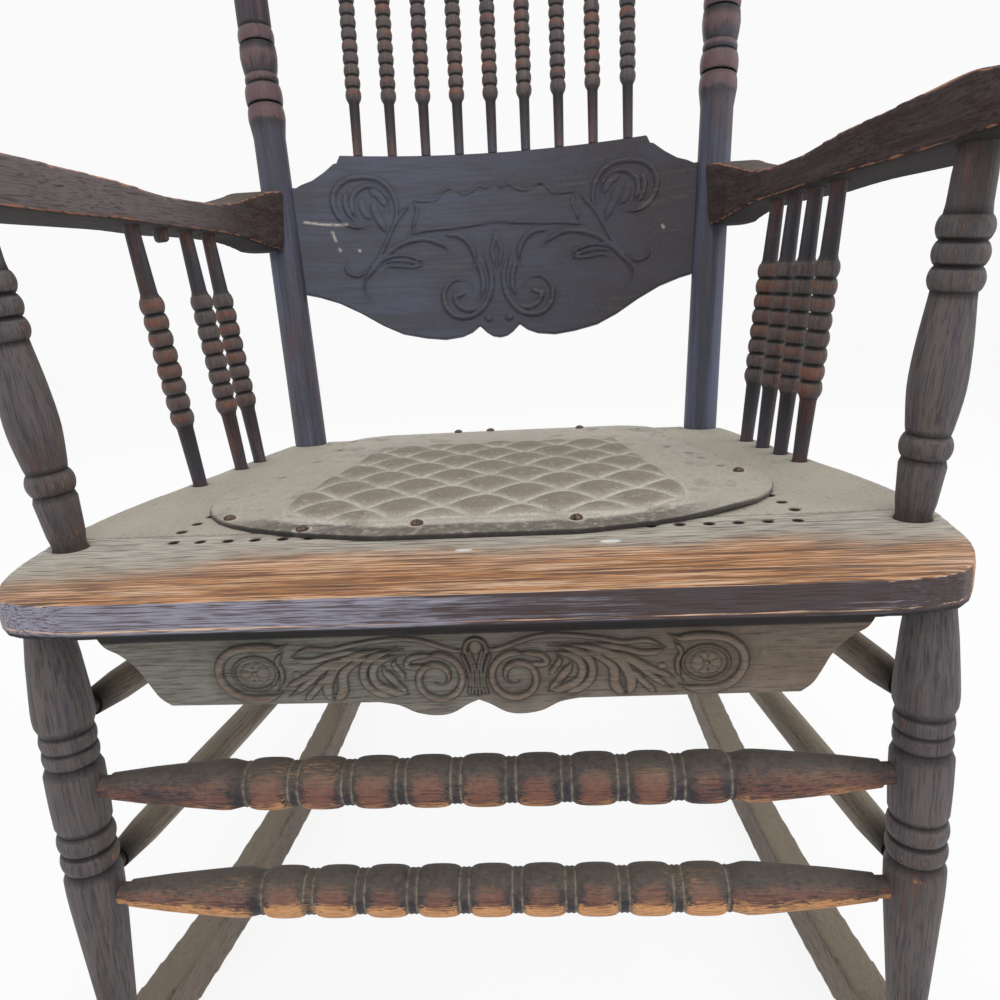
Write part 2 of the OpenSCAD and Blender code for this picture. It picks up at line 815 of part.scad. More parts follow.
module post_place() {
    back_frame() translate([post_x, 0, 0]) rotate([0, spread, 0]) children();
}

module post_bore() {
    post_place()
        translate([0, 0, -post_depth - end_gap])
            cylinder(d = post_d + 2 * fit_gap, h = post_depth + end_gap + seat_t);
}

// The turned part of a post, as lengths from its plain part up.
post_taper = 12;
post_bulge = 17;
post_groove = 2;
post_ball = 18;
post_ring = 9;
post_vase = 28;
post_small_ball = 14;
post_finial = 36;
post_groove_share = 0.93;
// Its bulge, vase and finial, as shares of the balls' radius and each one's length.
bulge_shares = [[0.95, 0], [1, 0.35], [0.985, 0.75], [0.94, 1]];
vase_shares = [[0.89, 0.12], [0.96, 0.4], [1, 0.66], [0.96, 1]];
finial_shares = [[0.52, 0], [0.76, 0.14], [0.87, 0.42], [0.82, 0.68], [0.63, 0.88], [0.35, 0.98],
    [0.12, 1]];
ring_shares = [0.97, 1.05];
small_ball_shares = [0.9, 0.97];
cup_share = 1.04;

function post_profile() =
    let (r = post_d / 2, b = ball_d / 2, g = r * post_groove_share,
         z1 = post_plain + post_taper, z2 = z1 + post_bulge, z3 = z2 + post_groove,
         z4 = z3 + post_ball, z5 = z4 + post_groove, z6 = z5 + post_ring, z7 = z6 + post_vase,
         z8 = z7 + post_groove, z9 = z8 + post_small_ball, z10 = z9 + post_groove,
         z11 = post_len - post_finial, z12 = z11 + post_groove)
    concat(
        [[r, -post_depth], [r, post_plain]],
        shaped(bulge_shares, b, z1, post_bulge),
        [[g, z2], [g, z3]],
        beads(z3, 1, post_ball, b * post_groove_share, b),
        [[g, z4], [g, z5]],
        beads(z5, 1, post_ring, r * ring_shares[0], r * ring_shares[1]),
        shaped(vase_shares, b, z6, post_vase),
        [[g, z7], [g, z8]],
        beads(z8, 1, post_small_ball, b * small_ball_shares[0], b * small_ball_shares[1]),
        [[g, z9], [g, z10], [r * cup_share, z10 + post_groove], [r * cup_share, z11], [g, z11],
         [g, z12]],
        shaped(smooth(finial_shares, 3), b, z12, post_len - z12));

module back_post(side) {
    color("darkslategray")
        on_side(side)
            difference() {
                post_place() turned(post_profile());
                back_frame() panel_slot();
                back_frame() crest_slot();
                arm_screw(screw_d + 2 * fit_gap, end_gap);
            }
}

// The back panel and the crest rail: boards bowed to the rear between the posts.

function bow_radius(half, bow) = (half * half + bow * bow) / (2 * bow);

// A bowed wall of thickness t, up to h high.
module bowed(half, bow, t, h) {
    r = bow_radius(half, bow);
    linear_extrude(h)
        translate([0, bow - r])
            difference() {
                circle(r = r + t / 2, $fn = arc_fn);
                circle(r = r - t / 2, $fn = arc_fn);
            }
}

// A place on a bowed wall's middle line, at a distance x from the centre.
function on_bow(x, half, bow) = let (r = bow_radius(half, bow)) bow - r + sqrt(r * r - x * x);

// A shape in the back's own plane, run through it from front to rear.
module through_back(reach) {
    translate([0, reach, 0]) rotate([90, 0, 0]) linear_extrude(2 * reach) children();
}

back_panel_h = back_panel_top - back_panel_low;
panel_half_share = 0.54;
panel_half = post_axis_x(back_panel_low + back_panel_h * panel_half_share);
// The panel's straight ends, from the low corner to the high one.
panel_end_shares = [0.262, 0.82];
panel_end_low = back_panel_low + back_panel_h * panel_end_shares[0];
panel_end_top = back_panel_low + back_panel_h * panel_end_shares[1];

// The panel's lower edge from the middle out, and its upper one from the corner out: shares of
// its half width and its height.
panel_low_shares = [[0, 0], [0.035, 0.008], [0.065, 0.03], [0.098, 0.068], [0.135, 0.035],
    [0.185, 0.012], [0.27, 0], [0.365, 0.012], [0.475, 0.038], [0.57, 0.088], [0.67, 0.157],
    [0.77, 0.214], [0.86, 0.246]];
panel_high_shares = [[0.903, 0.84], [0.858, 0.862], [0.806, 0.905], [0.757, 0.955], [0.742, 0.96]];
panel_corner_share = 0.728;

module panel_outline(reach) {
    half = concat(
        scaled(smooth(panel_low_shares, 2), panel_half, back_panel_h),
        [[post_axis_x(panel_end_low) - post_d / 2 - fit_gap, panel_end_low - back_panel_low],
         [post_axis_x(panel_end_low) - reach, panel_end_low - back_panel_low],
         [post_axis_x(panel_end_top) - reach, panel_end_top - back_panel_low],
         [post_axis_x(panel_end_top) - post_d / 2 - fit_gap, panel_end_top - back_panel_low]],
        scaled(smooth(panel_high_shares, 2), panel_half, back_panel_h),
        [[panel_half * panel_corner_share, back_panel_h]]);
    translate([0, back_panel_low]) polygon(concat(half, flipped(half)));
}

module back_panel() {
    color("darkslategray")
        back_frame()
            difference() {
                intersection() {
                    through_back(back_bow * 2) panel_outline(panel_tenon);
                    bowed(panel_half, back_bow, back_panel_t, back_panel_top + overrun);
                }
                for (i = [-outer_spindle : outer_spindle])
                    pin_bore(spindle_high(i), spindle_low(i), spindle_pin_d, spindle_pin_l);
            }
}

module end_slot(low, high, half, bow, t) {
    low_x = post_axis_x(low);
    high_x = post_axis_x(high);
    floor_x = panel_tenon - end_gap;
    intersection() {
        through_back(bow * 2)
            polygon([[low_x - post_d, low - end_gap], [low_x - floor_x, low - end_gap],
                [high_x - floor_x, high + end_gap], [high_x - post_d, high + end_gap]]);
        bowed(half, bow, t + 2 * fit_gap, high + overrun);
    }
}

module panel_slot() {
    end_slot(panel_end_low, panel_end_top, panel_half, back_bow, back_panel_t);
}

crest_h = crest_top - crest_low;
crest_end_shares = [0.12, 0.6];
crest_end_low = crest_low + crest_h * crest_end_shares[0];
crest_end_top = crest_low + crest_h * crest_end_shares[1];
crest_half_share = 0.4;
crest_half = post_axis_x(crest_low + crest_h * crest_half_share);
crest_high_shares = [[0.90, 0.62], [0.86, 0.68], [0.79, 0.75], [0.66, 0.81], [0.5, 0.85], [0.36, 0.89],
    [0.24, 0.955], [0.12, 0.99], [0, 1]];
crest_low_shares = [[0, 0], [0.65, 0], [0.76, 0.02], [0.86, 0.09]];

module crest_outline() {
    half = concat(
        scaled(smooth(crest_low_shares, 2), crest_half, crest_h),
        [[post_axis_x(crest_end_low) - post_d / 2 - fit_gap, crest_end_low - crest_low],
         [post_axis_x(crest_end_low) - panel_tenon, crest_end_low - crest_low],
         [post_axis_x(crest_end_top) - panel_tenon, crest_end_top - crest_low],
         [post_axis_x(crest_end_top) - post_d / 2 - fit_gap, crest_end_top - crest_low]],
        scaled(smooth(crest_high_shares, 2), crest_half, crest_h));
    translate([0, crest_low]) polygon(concat(half, flipped(half)));
}

module crest_slot() {
    end_slot(crest_end_low, crest_end_top, crest_half, crest_bow, crest_t);
}

module crest_rail() {
    color("darkslategray")
        back_frame()
            difference() {
                intersection() {
                    through_back(crest_bow * 2) crest_outline();
                    bowed(crest_half, crest_bow, crest_t, crest_top + overrun);
                }
                for (i = [-outer_spindle : outer_spindle])
                    pin_bore(spindle_low(i), spindle_high(i), spindle_pin_d, spindle_pin_l);
            }
}

// Back spindles, counted from the middle one out to both sides.

outer_spindle = 4;

function spindle_low(i) =
    let (x = i * spindle_pitch) [x, on_bow(x, panel_half, back_bow), back_panel_top];
function spindle_high(i) =
    let (x = i * (spindle_pitch + spindle_fan)) [x, on_bow(x, crest_half, crest_bow), crest_low];

module back_spindle(i) {
    a = spindle_low(i);
    b = spindle_high(i);
    color("saddlebrown")
        back_frame()
            along(a, b)
                turned(bobbin(norm(b - a), spindle_beads, spindle_bead_l, spindle_bead_d,
                    spindle_shaft_d, spindle_pin_d, spindle_pin_l));
}

// Arms: sawn to one outline from above and another from the side.

arm_z = seat_h + arm_h;
arm_back_y = post_y + arm_h * tan(lean) + post_d;
arm_front_share = 0.03;
arm_len = arm_back_y - seat_d * arm_front_share;
// The arm's inner edge from the back to the front: shares of its width and its length.
arm_inner_shares = [[-0.47, 0], [-0.47, 0.1], [-0.31, 0.16], [-0.12, 0.24], [-0.03, 0.34], [0.01, 0.46],
    [0.06, 0.62], [0.19, 0.72], [0.29, 0.83], [0.29, 0.91], [0.41, 0.975]];
// The arm's outer edge from the front to the back, from the inner edge's line.
arm_outer_shares = [[0.87, 1], [1.31, 0.975], [1.59, 0.9], [1.61, 0.79], [1.39, 0.66], [1.12, 0.52],
    [1.11, 0.41], [1.12, 0.33], [0.81, 0.26], [0.48, 0.2], [0.33, 0.14], [0.28, 0.05], [0.2, 0]];
// The arm's top from the back to the front: shares of its heel's height and its length.
arm_top_shares = [[0.91, 0], [0.95, 0.05], [0.94, 0.12], [0.82, 0.18], [0.67, 0.26], [0.61, 0.40],
    [0.605, 0.52], [0.66, 0.63], [0.71, 0.76], [0.73, 0.86], [0.69, 0.94], [0.54, 1]];
arm_low_shares = [[0.36, 1], [0.255, 0.97], [0.235, 0.9], [0.235, 0.76], [0.235, 0.45], [0.235, 0.30],
    [0.19, 0.22], [0.1, 0.16], [0.03, 0.11], [0.03, 0.05], [0.05, 0]];
arm_steps = 4;
// The arm's underside lies this share of the heel's height above the heel's lowest point.
arm_base_share = 0.235;

module arm_body() {
    heel_z = arm_z - arm_heel_h * arm_base_share;
    plan = concat(smooth(arm_inner_shares, arm_steps), smooth(arm_outer_shares, arm_steps));
    side = concat(smooth(arm_top_shares, arm_steps), smooth(arm_low_shares, arm_steps));
    intersection() {
        translate([0, 0, seat_h])
            linear_extrude(arm_h + 2 * arm_heel_h)
                polygon([for (q = plan) [arm_inner_x + q[0] * arm_w, arm_back_y - q[1] * arm_len]]);
        rotate([90, 0, 90])
            linear_extrude(seat_w)
                polygon([for (q = side) [arm_back_y - q[1] * arm_len, heel_z + q[0] * arm_heel_h]]);
    }
}

module arm(side) {
    color("sienna")
        on_side(side)
            difference() {
                arm_body();
                post_place() cylinder(d = post_d + 2 * fit_gap, h = post_plain);
                arm_screw(screw_d + 2 * fit_gap, end_gap);
                arm_screw_head(screw_head_d + 2 * fit_gap, seat_half);
                for (i = [0 : last_spindle]) pin_bore(arm_foot(i), arm_head(i), arm_pin_d, arm_pin_l);
                pin_bore(arm_post_foot(), arm_post_head(), arm_post_pin_d, arm_post_pin_l);
            }
}

// A screw through the arm's heel into the back post.
screw_height_share = 0.25;
screw_across_share = 0.13;
screw_z = arm_h + arm_heel_h * screw_height_share;
screw_y = post_y + screw_z * tan(lean);
screw_post_x = post_x + screw_z * tan(spread);
screw_in = screw_post_x - screw_reach;
screw_out = arm_inner_x + arm_w * screw_across_share;

module arm_screw(d, extra) {
    translate([screw_in - extra, screw_y, seat_h + screw_z])
        rotate([0, 90, 0]) cylinder(d = d, h = screw_out - screw_in + extra);
}

module arm_screw_head(d, extra) {
    translate([screw_out, screw_y, seat_h + screw_z])
        rotate([0, 90, 0]) cylinder(d = d, h = screw_head_l + extra);
}

module arm_screws() {
    color("silver")
        for (side = [left, right])
            on_side(side) {
                arm_screw(screw_d, 0);
                arm_screw_head(screw_head_d, 0);
            }
}

// Arm spindles, counted from the front: the second on the left is broken off.

broken = 1;
last_spindle = 3;
// Where the first and the last stand on the seat, as shares of its half width and its depth.
arm_foot_shares = [[0.873, 0.586], [0.8025, 0.785]];
// Where they meet the arm: shares of the arm's width, from its inner edge, and of the seat's depth.
arm_head_shares = [[0.375, 0.533], [0.232, 0.8055]];

function arm_foot(i) =
    let (q = lerp(arm_foot_shares[0], arm_foot_shares[1], i / last_spindle))
    [q[0] * seat_half, q[1] * seat_d, seat_h];
function arm_head(i) =
    let (q = lerp(arm_head_shares[0], arm_head_shares[1], i / last_spindle))
    [arm_inner_x + q[0] * arm_w, q[1] * seat_d, arm_z];

// A blind bore at b for the pin of a spindle that comes from a.
module pin_bore(a, b, d, depth) {
    along(b, b + b - a)
        translate([0, 0, -overrun])
            rotate([0, 0, seam_turn]) cylinder(d = d + 2 * fit_gap, h = depth + overrun);
}

// The pins are as thick as the shaft's ends, so the spindle meets its seats with no step.
function arm_spindle_profile(l) =
    let (start = (l - arm_beads * arm_bead_l) / 2, groove = arm_bead_d / 2 * groove_share,
         lead = arm_bead_l * lead_share)
    concat(
        [[arm_pin_d / 2, -arm_pin_l + end_gap], [arm_pin_d / 2, arm_pin_bare],
         [arm_shaft_d / 2, start - lead], [groove, start]],
        beads(start, arm_beads, arm_bead_l, groove, arm_bead_d / 2),
        [[arm_shaft_d / 2, l - start + lead], [arm_pin_d / 2, l - arm_pin_bare],
         [arm_pin_d / 2, l + arm_pin_l - end_gap]]);

module arm_spindle(i, side) {
    a = arm_foot(i);
    b = arm_head(i);
    color("saddlebrown")
        on_side(side) along(a, b) turned(arm_spindle_profile(norm(b - a)));
}

module arm_spindle_stub(i, side) {
    a = arm_foot(i);
    b = arm_head(i);
    color("saddlebrown")
        on_side(side)
            along(b, b + b - a)
                translate([0, 0, -stub_l]) cylinder(d = arm_pin_d, h = stub_l + arm_pin_l - end_gap);
}

// Front arm posts.

arm_post_lean = 12;

function arm_post_foot() = [arm_post_x, arm_post_y, seat_h];
function arm_post_head() = [arm_post_x + arm_post_lean, arm_post_y - arm_post_lean, arm_z];

// A front arm post from the seat up: shares of its radius and its length, and its beads as
// [start, length] shares of its length.
arm_post_foot_shares = [[0.75, 0.05], [0.86, 0.16]];
arm_post_bead_shares = [0.18, 0.07];
arm_post_vase_shares = [[0.84, 0.27], [1, 0.38], [0.95, 0.5], [0.8, 0.62]];
arm_post_beads_shares = [0.64, 0.065];
arm_post_neck_shares = [[0.74, 0.86], [0.72, 0.93]];
arm_post_groove_share = 0.78;
arm_post_ring_share = 0.95;

function arm_post_profile(l) =
    let (r = arm_post_d / 2, pin = arm_post_pin_d / 2, groove = r * arm_post_groove_share,
         ring = r * arm_post_ring_share, one = arm_post_bead_shares * l, three = arm_post_beads_shares * l)
    concat(
        [[pin, -arm_post_pin_l + end_gap], [pin, arm_post_pin_bare]],
        shaped(arm_post_foot_shares, r, 0, l),
        beads(one[0], 1, one[1], groove, ring),
        shaped(arm_post_vase_shares, r, 0, l),
        beads(three[0], 3, three[1], groove, ring),
        shaped(arm_post_neck_shares, r, 0, l),
        [[pin, l - arm_post_pin_bare], [pin, l + arm_post_pin_l - end_gap]]);

module arm_post(side) {
    a = arm_post_foot();
    b = arm_post_head();
    color("saddlebrown")
        on_side(side) along(a, b) turned(arm_post_profile(norm(b - a)));
}

seat_front_board();
seat_side_board(left);  // seat_left_board
seat_side_board(right);  // seat_right_board
seat_back_board();
seat_dowels();
seat_panel();
panel_tacks();
front_apron();
apron_glue_blocks();
front_leg(left);  // front_leg_left
front_leg(right);  // front_leg_right
rear_leg(left);  // rear_leg_left
rear_leg(right);  // rear_leg_right
runner(left);  // runner_left
runner(right);  // runner_right
foot_pins();
front_stretcher(upper_stretcher_drop);  // front_stretcher_upper
front_stretcher(lower_stretcher_drop);  // front_stretcher_lower
rear_stretcher();
side_stretcher(upper_side_drop, left);  // side_stretcher_upper_left
side_stretcher(upper_side_drop, right);  // side_stretcher_upper_right
side_stretcher(lower_side_drop, left);  // side_stretcher_lower_left
side_stretcher(lower_side_drop, right);  // side_stretcher_lower_right
back_post(left);  // back_post_left
back_post(right);  // back_post_right
back_panel();
crest_rail();
back_spindle(-4);  // back_spindle_1
back_spindle(-3);  // back_spindle_2
back_spindle(-2);  // back_spindle_3
back_spindle(-1);  // back_spindle_4
back_spindle(0);  // back_spindle_5
back_spindle(1);  // back_spindle_6
back_spindle(2);  // back_spindle_7
back_spindle(3);  // back_spindle_8
back_spindle(4);  // back_spindle_9
arm(left);  // arm_left
arm(right);  // arm_right
arm_screws();
arm_post(left);  // arm_post_left
arm_post(right);  // arm_post_right
arm_spindle(0, left);  // arm_spindle_left_1
arm_spindle_stub(broken, left);  // arm_spindle_left_2_stub
arm_spindle(2, left);  // arm_spindle_left_3
arm_spindle(3, left);  // arm_spindle_left_4
arm_spindle(0, right);  // arm_spindle_right_1
arm_spindle(1, right);  // arm_spindle_right_2
arm_spindle(2, right);  // arm_spindle_right_3
arm_spindle(3, right);  // arm_spindle_right_4
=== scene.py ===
import math
import random

import bpy
import numpy as np
from mathutils import Matrix, Vector


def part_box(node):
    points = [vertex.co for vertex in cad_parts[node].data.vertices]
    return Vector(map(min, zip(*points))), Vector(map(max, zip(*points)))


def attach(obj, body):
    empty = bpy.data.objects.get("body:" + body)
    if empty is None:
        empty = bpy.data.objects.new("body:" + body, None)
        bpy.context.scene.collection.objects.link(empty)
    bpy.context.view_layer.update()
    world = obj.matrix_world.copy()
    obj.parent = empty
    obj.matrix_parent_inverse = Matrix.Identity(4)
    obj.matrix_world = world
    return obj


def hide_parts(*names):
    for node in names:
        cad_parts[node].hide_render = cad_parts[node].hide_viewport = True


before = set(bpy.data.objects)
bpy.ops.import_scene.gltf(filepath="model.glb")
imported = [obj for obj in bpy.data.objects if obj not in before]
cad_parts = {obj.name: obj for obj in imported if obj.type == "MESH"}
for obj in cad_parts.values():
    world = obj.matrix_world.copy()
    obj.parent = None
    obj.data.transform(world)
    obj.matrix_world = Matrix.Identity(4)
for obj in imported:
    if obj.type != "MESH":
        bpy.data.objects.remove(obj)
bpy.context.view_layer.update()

bl_info = {
    "name": "Pressed-Back Armchair Rocker",
    "version": (1, 0, 0),
    "blender": (4, 5, 0),
    "location": "3D View > Sidebar > Rocker",
    "description": "Dresses an oak rocker: carved panels, bobbin turnings, worn and dusty wood",
    "category": "Add Mesh",
}

SIDES = {"left": -1, "right": 1}
BODY = "root"
SEAT_LOW, SEAT_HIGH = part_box("seat_front_board")
FLOOR_Z = 0.0


# Properties that a user would change.

def size(name, description, default):
    """A length in metres."""
    return bpy.props.FloatProperty(
        name=name, description=description, default=default, unit="LENGTH", precision=4)


def turn(name, description, degrees):
    """An angle."""
    return bpy.props.FloatProperty(
        name=name, description=description, default=math.radians(degrees), unit="ROTATION")


def count(name, description, default):
    """A number of like things."""
    return bpy.props.IntProperty(name=name, description=description, default=default, min=1)


def linear(value):
    """A colour value from 0 to 255 as the light that it stands for."""
    share = value / 255
    return share / 12.92 if share <= 0.04045 else ((share + 0.055) / 1.055) ** 2.4


def paint(name, description, red, green, blue):
    """A colour, given as a painter reads it from 0 to 255."""
    return bpy.props.FloatVectorProperty(
        name=name, description=description, subtype="COLOR", size=3, min=0, max=1,
        default=(linear(red), linear(green), linear(blue)))


class SeatSizes(bpy.types.PropertyGroup):
    """Sizes of the seat, its embossed panel and its apron."""
    top: size("Seat height", "Height of the seat's top above the floor", SEAT_HIGH.z)
    thickness: size("Board thickness", "Thickness of the seat boards", SEAT_HIGH.z - SEAT_LOW.z)
    half_width: size("Half width", "Half of the seat's greatest width", SEAT_HIGH.x)
    depth: size("Depth", "Depth of the seat from front to back", 0.437)
    board_voxel: size("Board detail", "Finest detail kept on the seat boards", 0.0013)
    panel_half: size("Panel half width", "Half of the embossed panel's width", 0.202)
    panel_front: size("Panel front", "Distance of the panel behind the seat's front edge", 0.088)
    panel_depth: size("Panel depth", "Depth of the embossed panel", 0.340)
    panel_rim: size("Panel rim", "Thickness of the panel at its rim", 0.003)
    panel_crown: size("Panel crown", "Rise of the panel's middle over its rim", 0.004)
    tuft_pitch: size("Tuft width", "Width of one diamond tuft", 0.052)
    tuft_height: size("Tuft height", "Height of a tuft", 0.005)
    tack: size("Tack head", "Width of a tack's head", 0.008)
    apron_front: size("Apron place", "Distance of the apron behind the seat's front edge", 0.040)
    apron_thickness: size("Apron thickness", "Thickness of the apron", 0.016)
    apron_half: size("Apron half width", "Half of the apron's width", 0.220)
    apron_height: size("Apron height", "Height of the apron's straight part", 0.062)
    apron_lobe: size("Apron lobe", "How far the lobes hang below the apron", 0.010)


class BackSizes(bpy.types.PropertyGroup):
    """Sizes of the back."""
    post_x: size("Post place", "Distance of a post from the middle, at the seat", 0.195)
    post_y: size("Post depth", "Distance of a post behind the seat's front edge", 0.420)
    lean: turn("Lean", "Lean of the back to the rear", 11.46)
    spread: turn("Spread", "Spread of each post to the side", 4.51)
    post: size("Post", "Diameter of a post", 0.031)
    ball: size("Ball", "Diameter of a post's balls", 0.036)
    post_length: size("Post length", "Length of a post above the seat", 0.690)
    post_plain: size("Plain length", "Length of a post's plain part", 0.304)
    panel_top: size("Panel top", "Height of the panel's top above the seat", 0.288)
    panel_low: size("Panel low", "Height of the panel's lobes above the seat", 0.102)
    panel_thickness: size("Panel thickness", "Thickness of the panel", 0.011)
    panel_bow: size("Panel bow", "How far the panel bows to the rear", 0.037)
    crest_low: size("Crest low", "Height of the crest rail's bottom above the seat", 0.566)
    crest_top: size("Crest top", "Height of the crest rail's top above the seat", 0.684)
    crest_thickness: size("Crest thickness", "Thickness of the crest rail", 0.015)
    crest_bow: size("Crest bow", "How far the crest rail bows to the rear", 0.044)
    spindle_pitch: size("Spindle distance", "Distance of the spindles at the panel", 0.034)
    spindle_fan: size("Spindle fan", "Extra distance of the spindles at the crest", 0.0021)
    bead: size("Bead", "Diameter of a back spindle's beads", 0.016)
    bead_length: size("Bead length", "Length of one bead", 0.012)
    beads: count("Beads", "Number of beads on a back spindle", 14)


class ArmSizes(bpy.types.PropertyGroup):
    """Sizes of the arms and what carries them."""
    height: size("Arm height", "Height of the arm's underside above the seat", 0.201)
    inner: size("Arm place", "Distance of the arm's inner edge from the middle", 0.231)
    width: size("Arm width", "Width of the arm at its middle", 0.056)
    voxel: size("Arm detail", "Finest detail kept on the arms", 0.0016)
    bead: size("Bead", "Diameter of an arm spindle's beads", 0.018)
    bead_length: size("Bead length", "Length of one bead", 0.0125)
    beads: count("Beads", "Number of beads on an arm spindle", 8)
    stub: size("Stub", "Length of the broken spindle's stump", 0.009)
    post: size("Arm post", "Diameter of a front arm post", 0.030)
    post_x: size("Arm post place", "Distance of an arm post from the middle", 0.258)
    post_y: size("Arm post depth", "Distance of an arm post behind the seat's edge", 0.098)
    post_lean: size("Arm post lean", "How far an arm post leans out and forward", 0.012)


class BaseSizes(bpy.types.PropertyGroup):
    """Sizes of the legs, stretchers and runners."""
    runner_radius: size("Runner radius", "Radius of the runners' curved top", 1.353)
    runner_height: size("Runner height", "Height of a runner", 0.034)
    runner_low: size("Runner low point", "Distance of the runners' lowest point", 0.298)
    runner_voxel: size("Runner detail", "Finest detail kept on the runners", 0.0018)
    front_x: size("Front leg place", "Distance of a front leg's top from the middle", 0.247)
    front_foot_x: size("Front foot place", "Distance of a front foot from the middle", 0.256)
    front_y: size("Front leg depth", "Distance of the front legs behind the edge", 0.046)
    rear_x: size("Rear leg place", "Distance of a rear leg's top from the middle", 0.192)
    rear_foot_x: size("Rear foot place", "Distance of a rear foot from the middle", 0.222)
    rear_y: size("Rear leg depth", "Distance of the rear legs' tops behind the edge", 0.388)
    rear_foot_y: size("Rear foot depth", "Distance of the rear feet behind the edge", 0.512)
    leg: size("Leg", "Diameter of a leg", 0.034)
    upper_drop: size("Upper stretcher", "Depth of the upper front stretcher", 0.137)
    lower_drop: size("Lower stretcher", "Depth of the lower front stretcher", 0.215)
    bead: size("Bead", "Diameter of the front stretchers' beads", 0.0305)
    bead_pitch: size("Bead pitch", "Distance of the front stretchers' beads", 0.0321)
    beads: count("Beads", "Number of beads on a front stretcher", 9)
    upper_side_drop: size("Upper side stretcher", "Depth of the upper side stretchers", 0.092)
    lower_side_drop: size("Lower side stretcher", "Depth of the lower side stretchers", 0.206)
    rung: size("Side stretcher", "Diameter of the side stretchers", 0.023)


class Colours(bpy.types.PropertyGroup):
    """Colours of the wood, the embossed panel and the iron."""
    slate: paint("Slate stain", "Dark blue stain of the posts", 66, 66, 78)
    slate_light: paint("Slate streak", "Lighter streaks in the blue stain", 94, 99, 122)
    slate_dark: paint("Slate shade", "Darker streaks in the blue stain", 48, 46, 54)
    plum: paint("Plum", "Dark purple brown of the panel's right side", 56, 52, 58)
    bead_grey: paint("Bead grey", "Grey brown of the bobbin spindles", 96, 88, 86)
    russet: paint("Russet", "Dull red brown where a turning is rubbed", 122, 82, 70)
    rosewood: paint("Rosewood", "Dark red of the posts' turned parts", 98, 76, 80)
    olive: paint("Olive brown", "Brown of the panel's raised band", 84, 80, 78)
    walnut: paint("Walnut", "Dark red brown of the arms", 52, 38, 35)
    # Ash is also laid over the left arm's front as a painted highlight.
    ash: paint("Ash brown", "Grey brown streaks on the arms", 116, 107, 108)
    # Black is also laid over hollows, holes and undersides as painted shade.
    black: paint("Black stain", "Blackest wood, as in deep grooves", 22, 19, 20)
    orange: paint("Worn orange", "Bare worn wood", 196, 134, 78)
    amber: paint("Worn amber", "Bare wood under the front stretchers", 218, 160, 108)
    pink: paint("Worn pink", "Bare wood on the arms' edges", 196, 138, 110)
    honey: paint("Worn honey", "Bare wood on the sharpest edges", 230, 194, 164)
    band_dark: paint("Band dark", "Dark streaks on the seat's worn front", 66, 44, 34)
    band_brown: paint("Band brown", "Middle streaks on the seat's worn front", 138, 94, 66)
    # The face's blue grey is partly its stain and partly a painted sheen of sky light.
    face_blue_sheen: paint("Face blue", "Blue grey of the seat's front face", 150, 148, 163)
    face_plum: paint("Face plum", "Purple brown of the seat's front face", 76, 66, 68)
    dusty: paint("Dusty top", "Dust on wood that faces up", 190, 183, 169)
    dusty_dark: paint("Dusty streak", "Thinner dust on wood that faces up", 144, 134, 118)
    grime: paint("Grime", "Grey green of dusty wood in shade", 134, 131, 122)
    grime_dark: paint("Dark grime", "Darker streaks in the grime", 92, 88, 80)
    relief: paint("Relief brown", "Brown of the apron's raised carving", 124, 108, 95)
    fibre: paint("Fibre board", "Olive brown of the embossed panel", 178, 170, 156)
    # Tuft brown also stands partly for painted shade on the tufts.
    fibre_dark: paint("Tuft brown", "Darker brown of the tufts", 132, 123, 108)
    seam: paint("Seam dust", "Pale dust in the panel's seams", 216, 210, 198)
    rim: paint("Rim grey", "Dark smooth grey of the panel's front rim", 88, 80, 72)
    rust: paint("Rust", "Rusty tack heads", 128, 104, 90)
    white: paint("White paint", "Spots of old white paint", 238, 236, 232)
    bare: paint("Bare wood", "Unfinished wood of dowels and blocks", 186, 152, 108)
    steel: paint("Steel", "Dull steel of the screws", 150, 148, 146)
    floor: paint("Floor", "The pale floor", 250, 250, 250)


# Outlines, as shares of each piece's half width and height or depth.
PANEL_EDGE_SHARES = [(0.31, 0), (0.525, 0.032), (0.733, 0.081), (0.881, 0.145), (0.97, 0.232),
    (1, 0.325), (0.97, 0.41), (0.911, 0.49), (0.866, 0.58), (0.832, 0.672), (0.80, 0.788),
    (0.765, 0.904), (0.70, 0.968), (0.58, 1)]
TACK_SHARES = [(3, -0.55), (3, -0.19), (3, 0.30), (6, -0.84), (11, 0.91), (24, 0.38), (25, -0.22),
    (25, -0.06)]
LOBE_SHARES = [(0, 0.05), (0.03, 0.35), (0.072, 0.88), (0.115, 1), (0.165, 0.8), (0.21, 0.3),
    (0.26, 0.08)]
APRON_END_SHARES = [(0.818, 1), (0.846, 0.92), (0.866, 0.80), (0.893, 0.62), (0.935, 0.47),
    (0.975, 0.38), (1, 0.2)]
BACK_LOW_SHARES = [(0, 0), (0.035, 0.008), (0.065, 0.03), (0.098, 0.068), (0.135, 0.035),
    (0.185, 0.012), (0.27, 0), (0.365, 0.012), (0.475, 0.038), (0.57, 0.088), (0.67, 0.157),
    (0.77, 0.214), (0.86, 0.246), (0.93, 0.262), (1, 0.262)]
BACK_HIGH_SHARES = [(0, 1), (0.728, 1), (0.742, 0.96), (0.757, 0.955), (0.806, 0.905),
    (0.858, 0.862), (0.903, 0.84), (0.93, 0.82), (1, 0.82)]
CREST_LOW_SHARES = [(0, 0), (0.65, 0), (0.76, 0.02), (0.86, 0.09), (0.93, 0.12), (1, 0.12)]
CREST_HIGH_SHARES = [(0, 1), (0.12, 0.99), (0.24, 0.955), (0.36, 0.89), (0.5, 0.85),
    (0.66, 0.81), (0.79, 0.75), (0.86, 0.68), (0.90, 0.62), (1, 0.6)]
PANEL_HALF_SHARE = 0.54
CREST_HALF_SHARE = 0.4

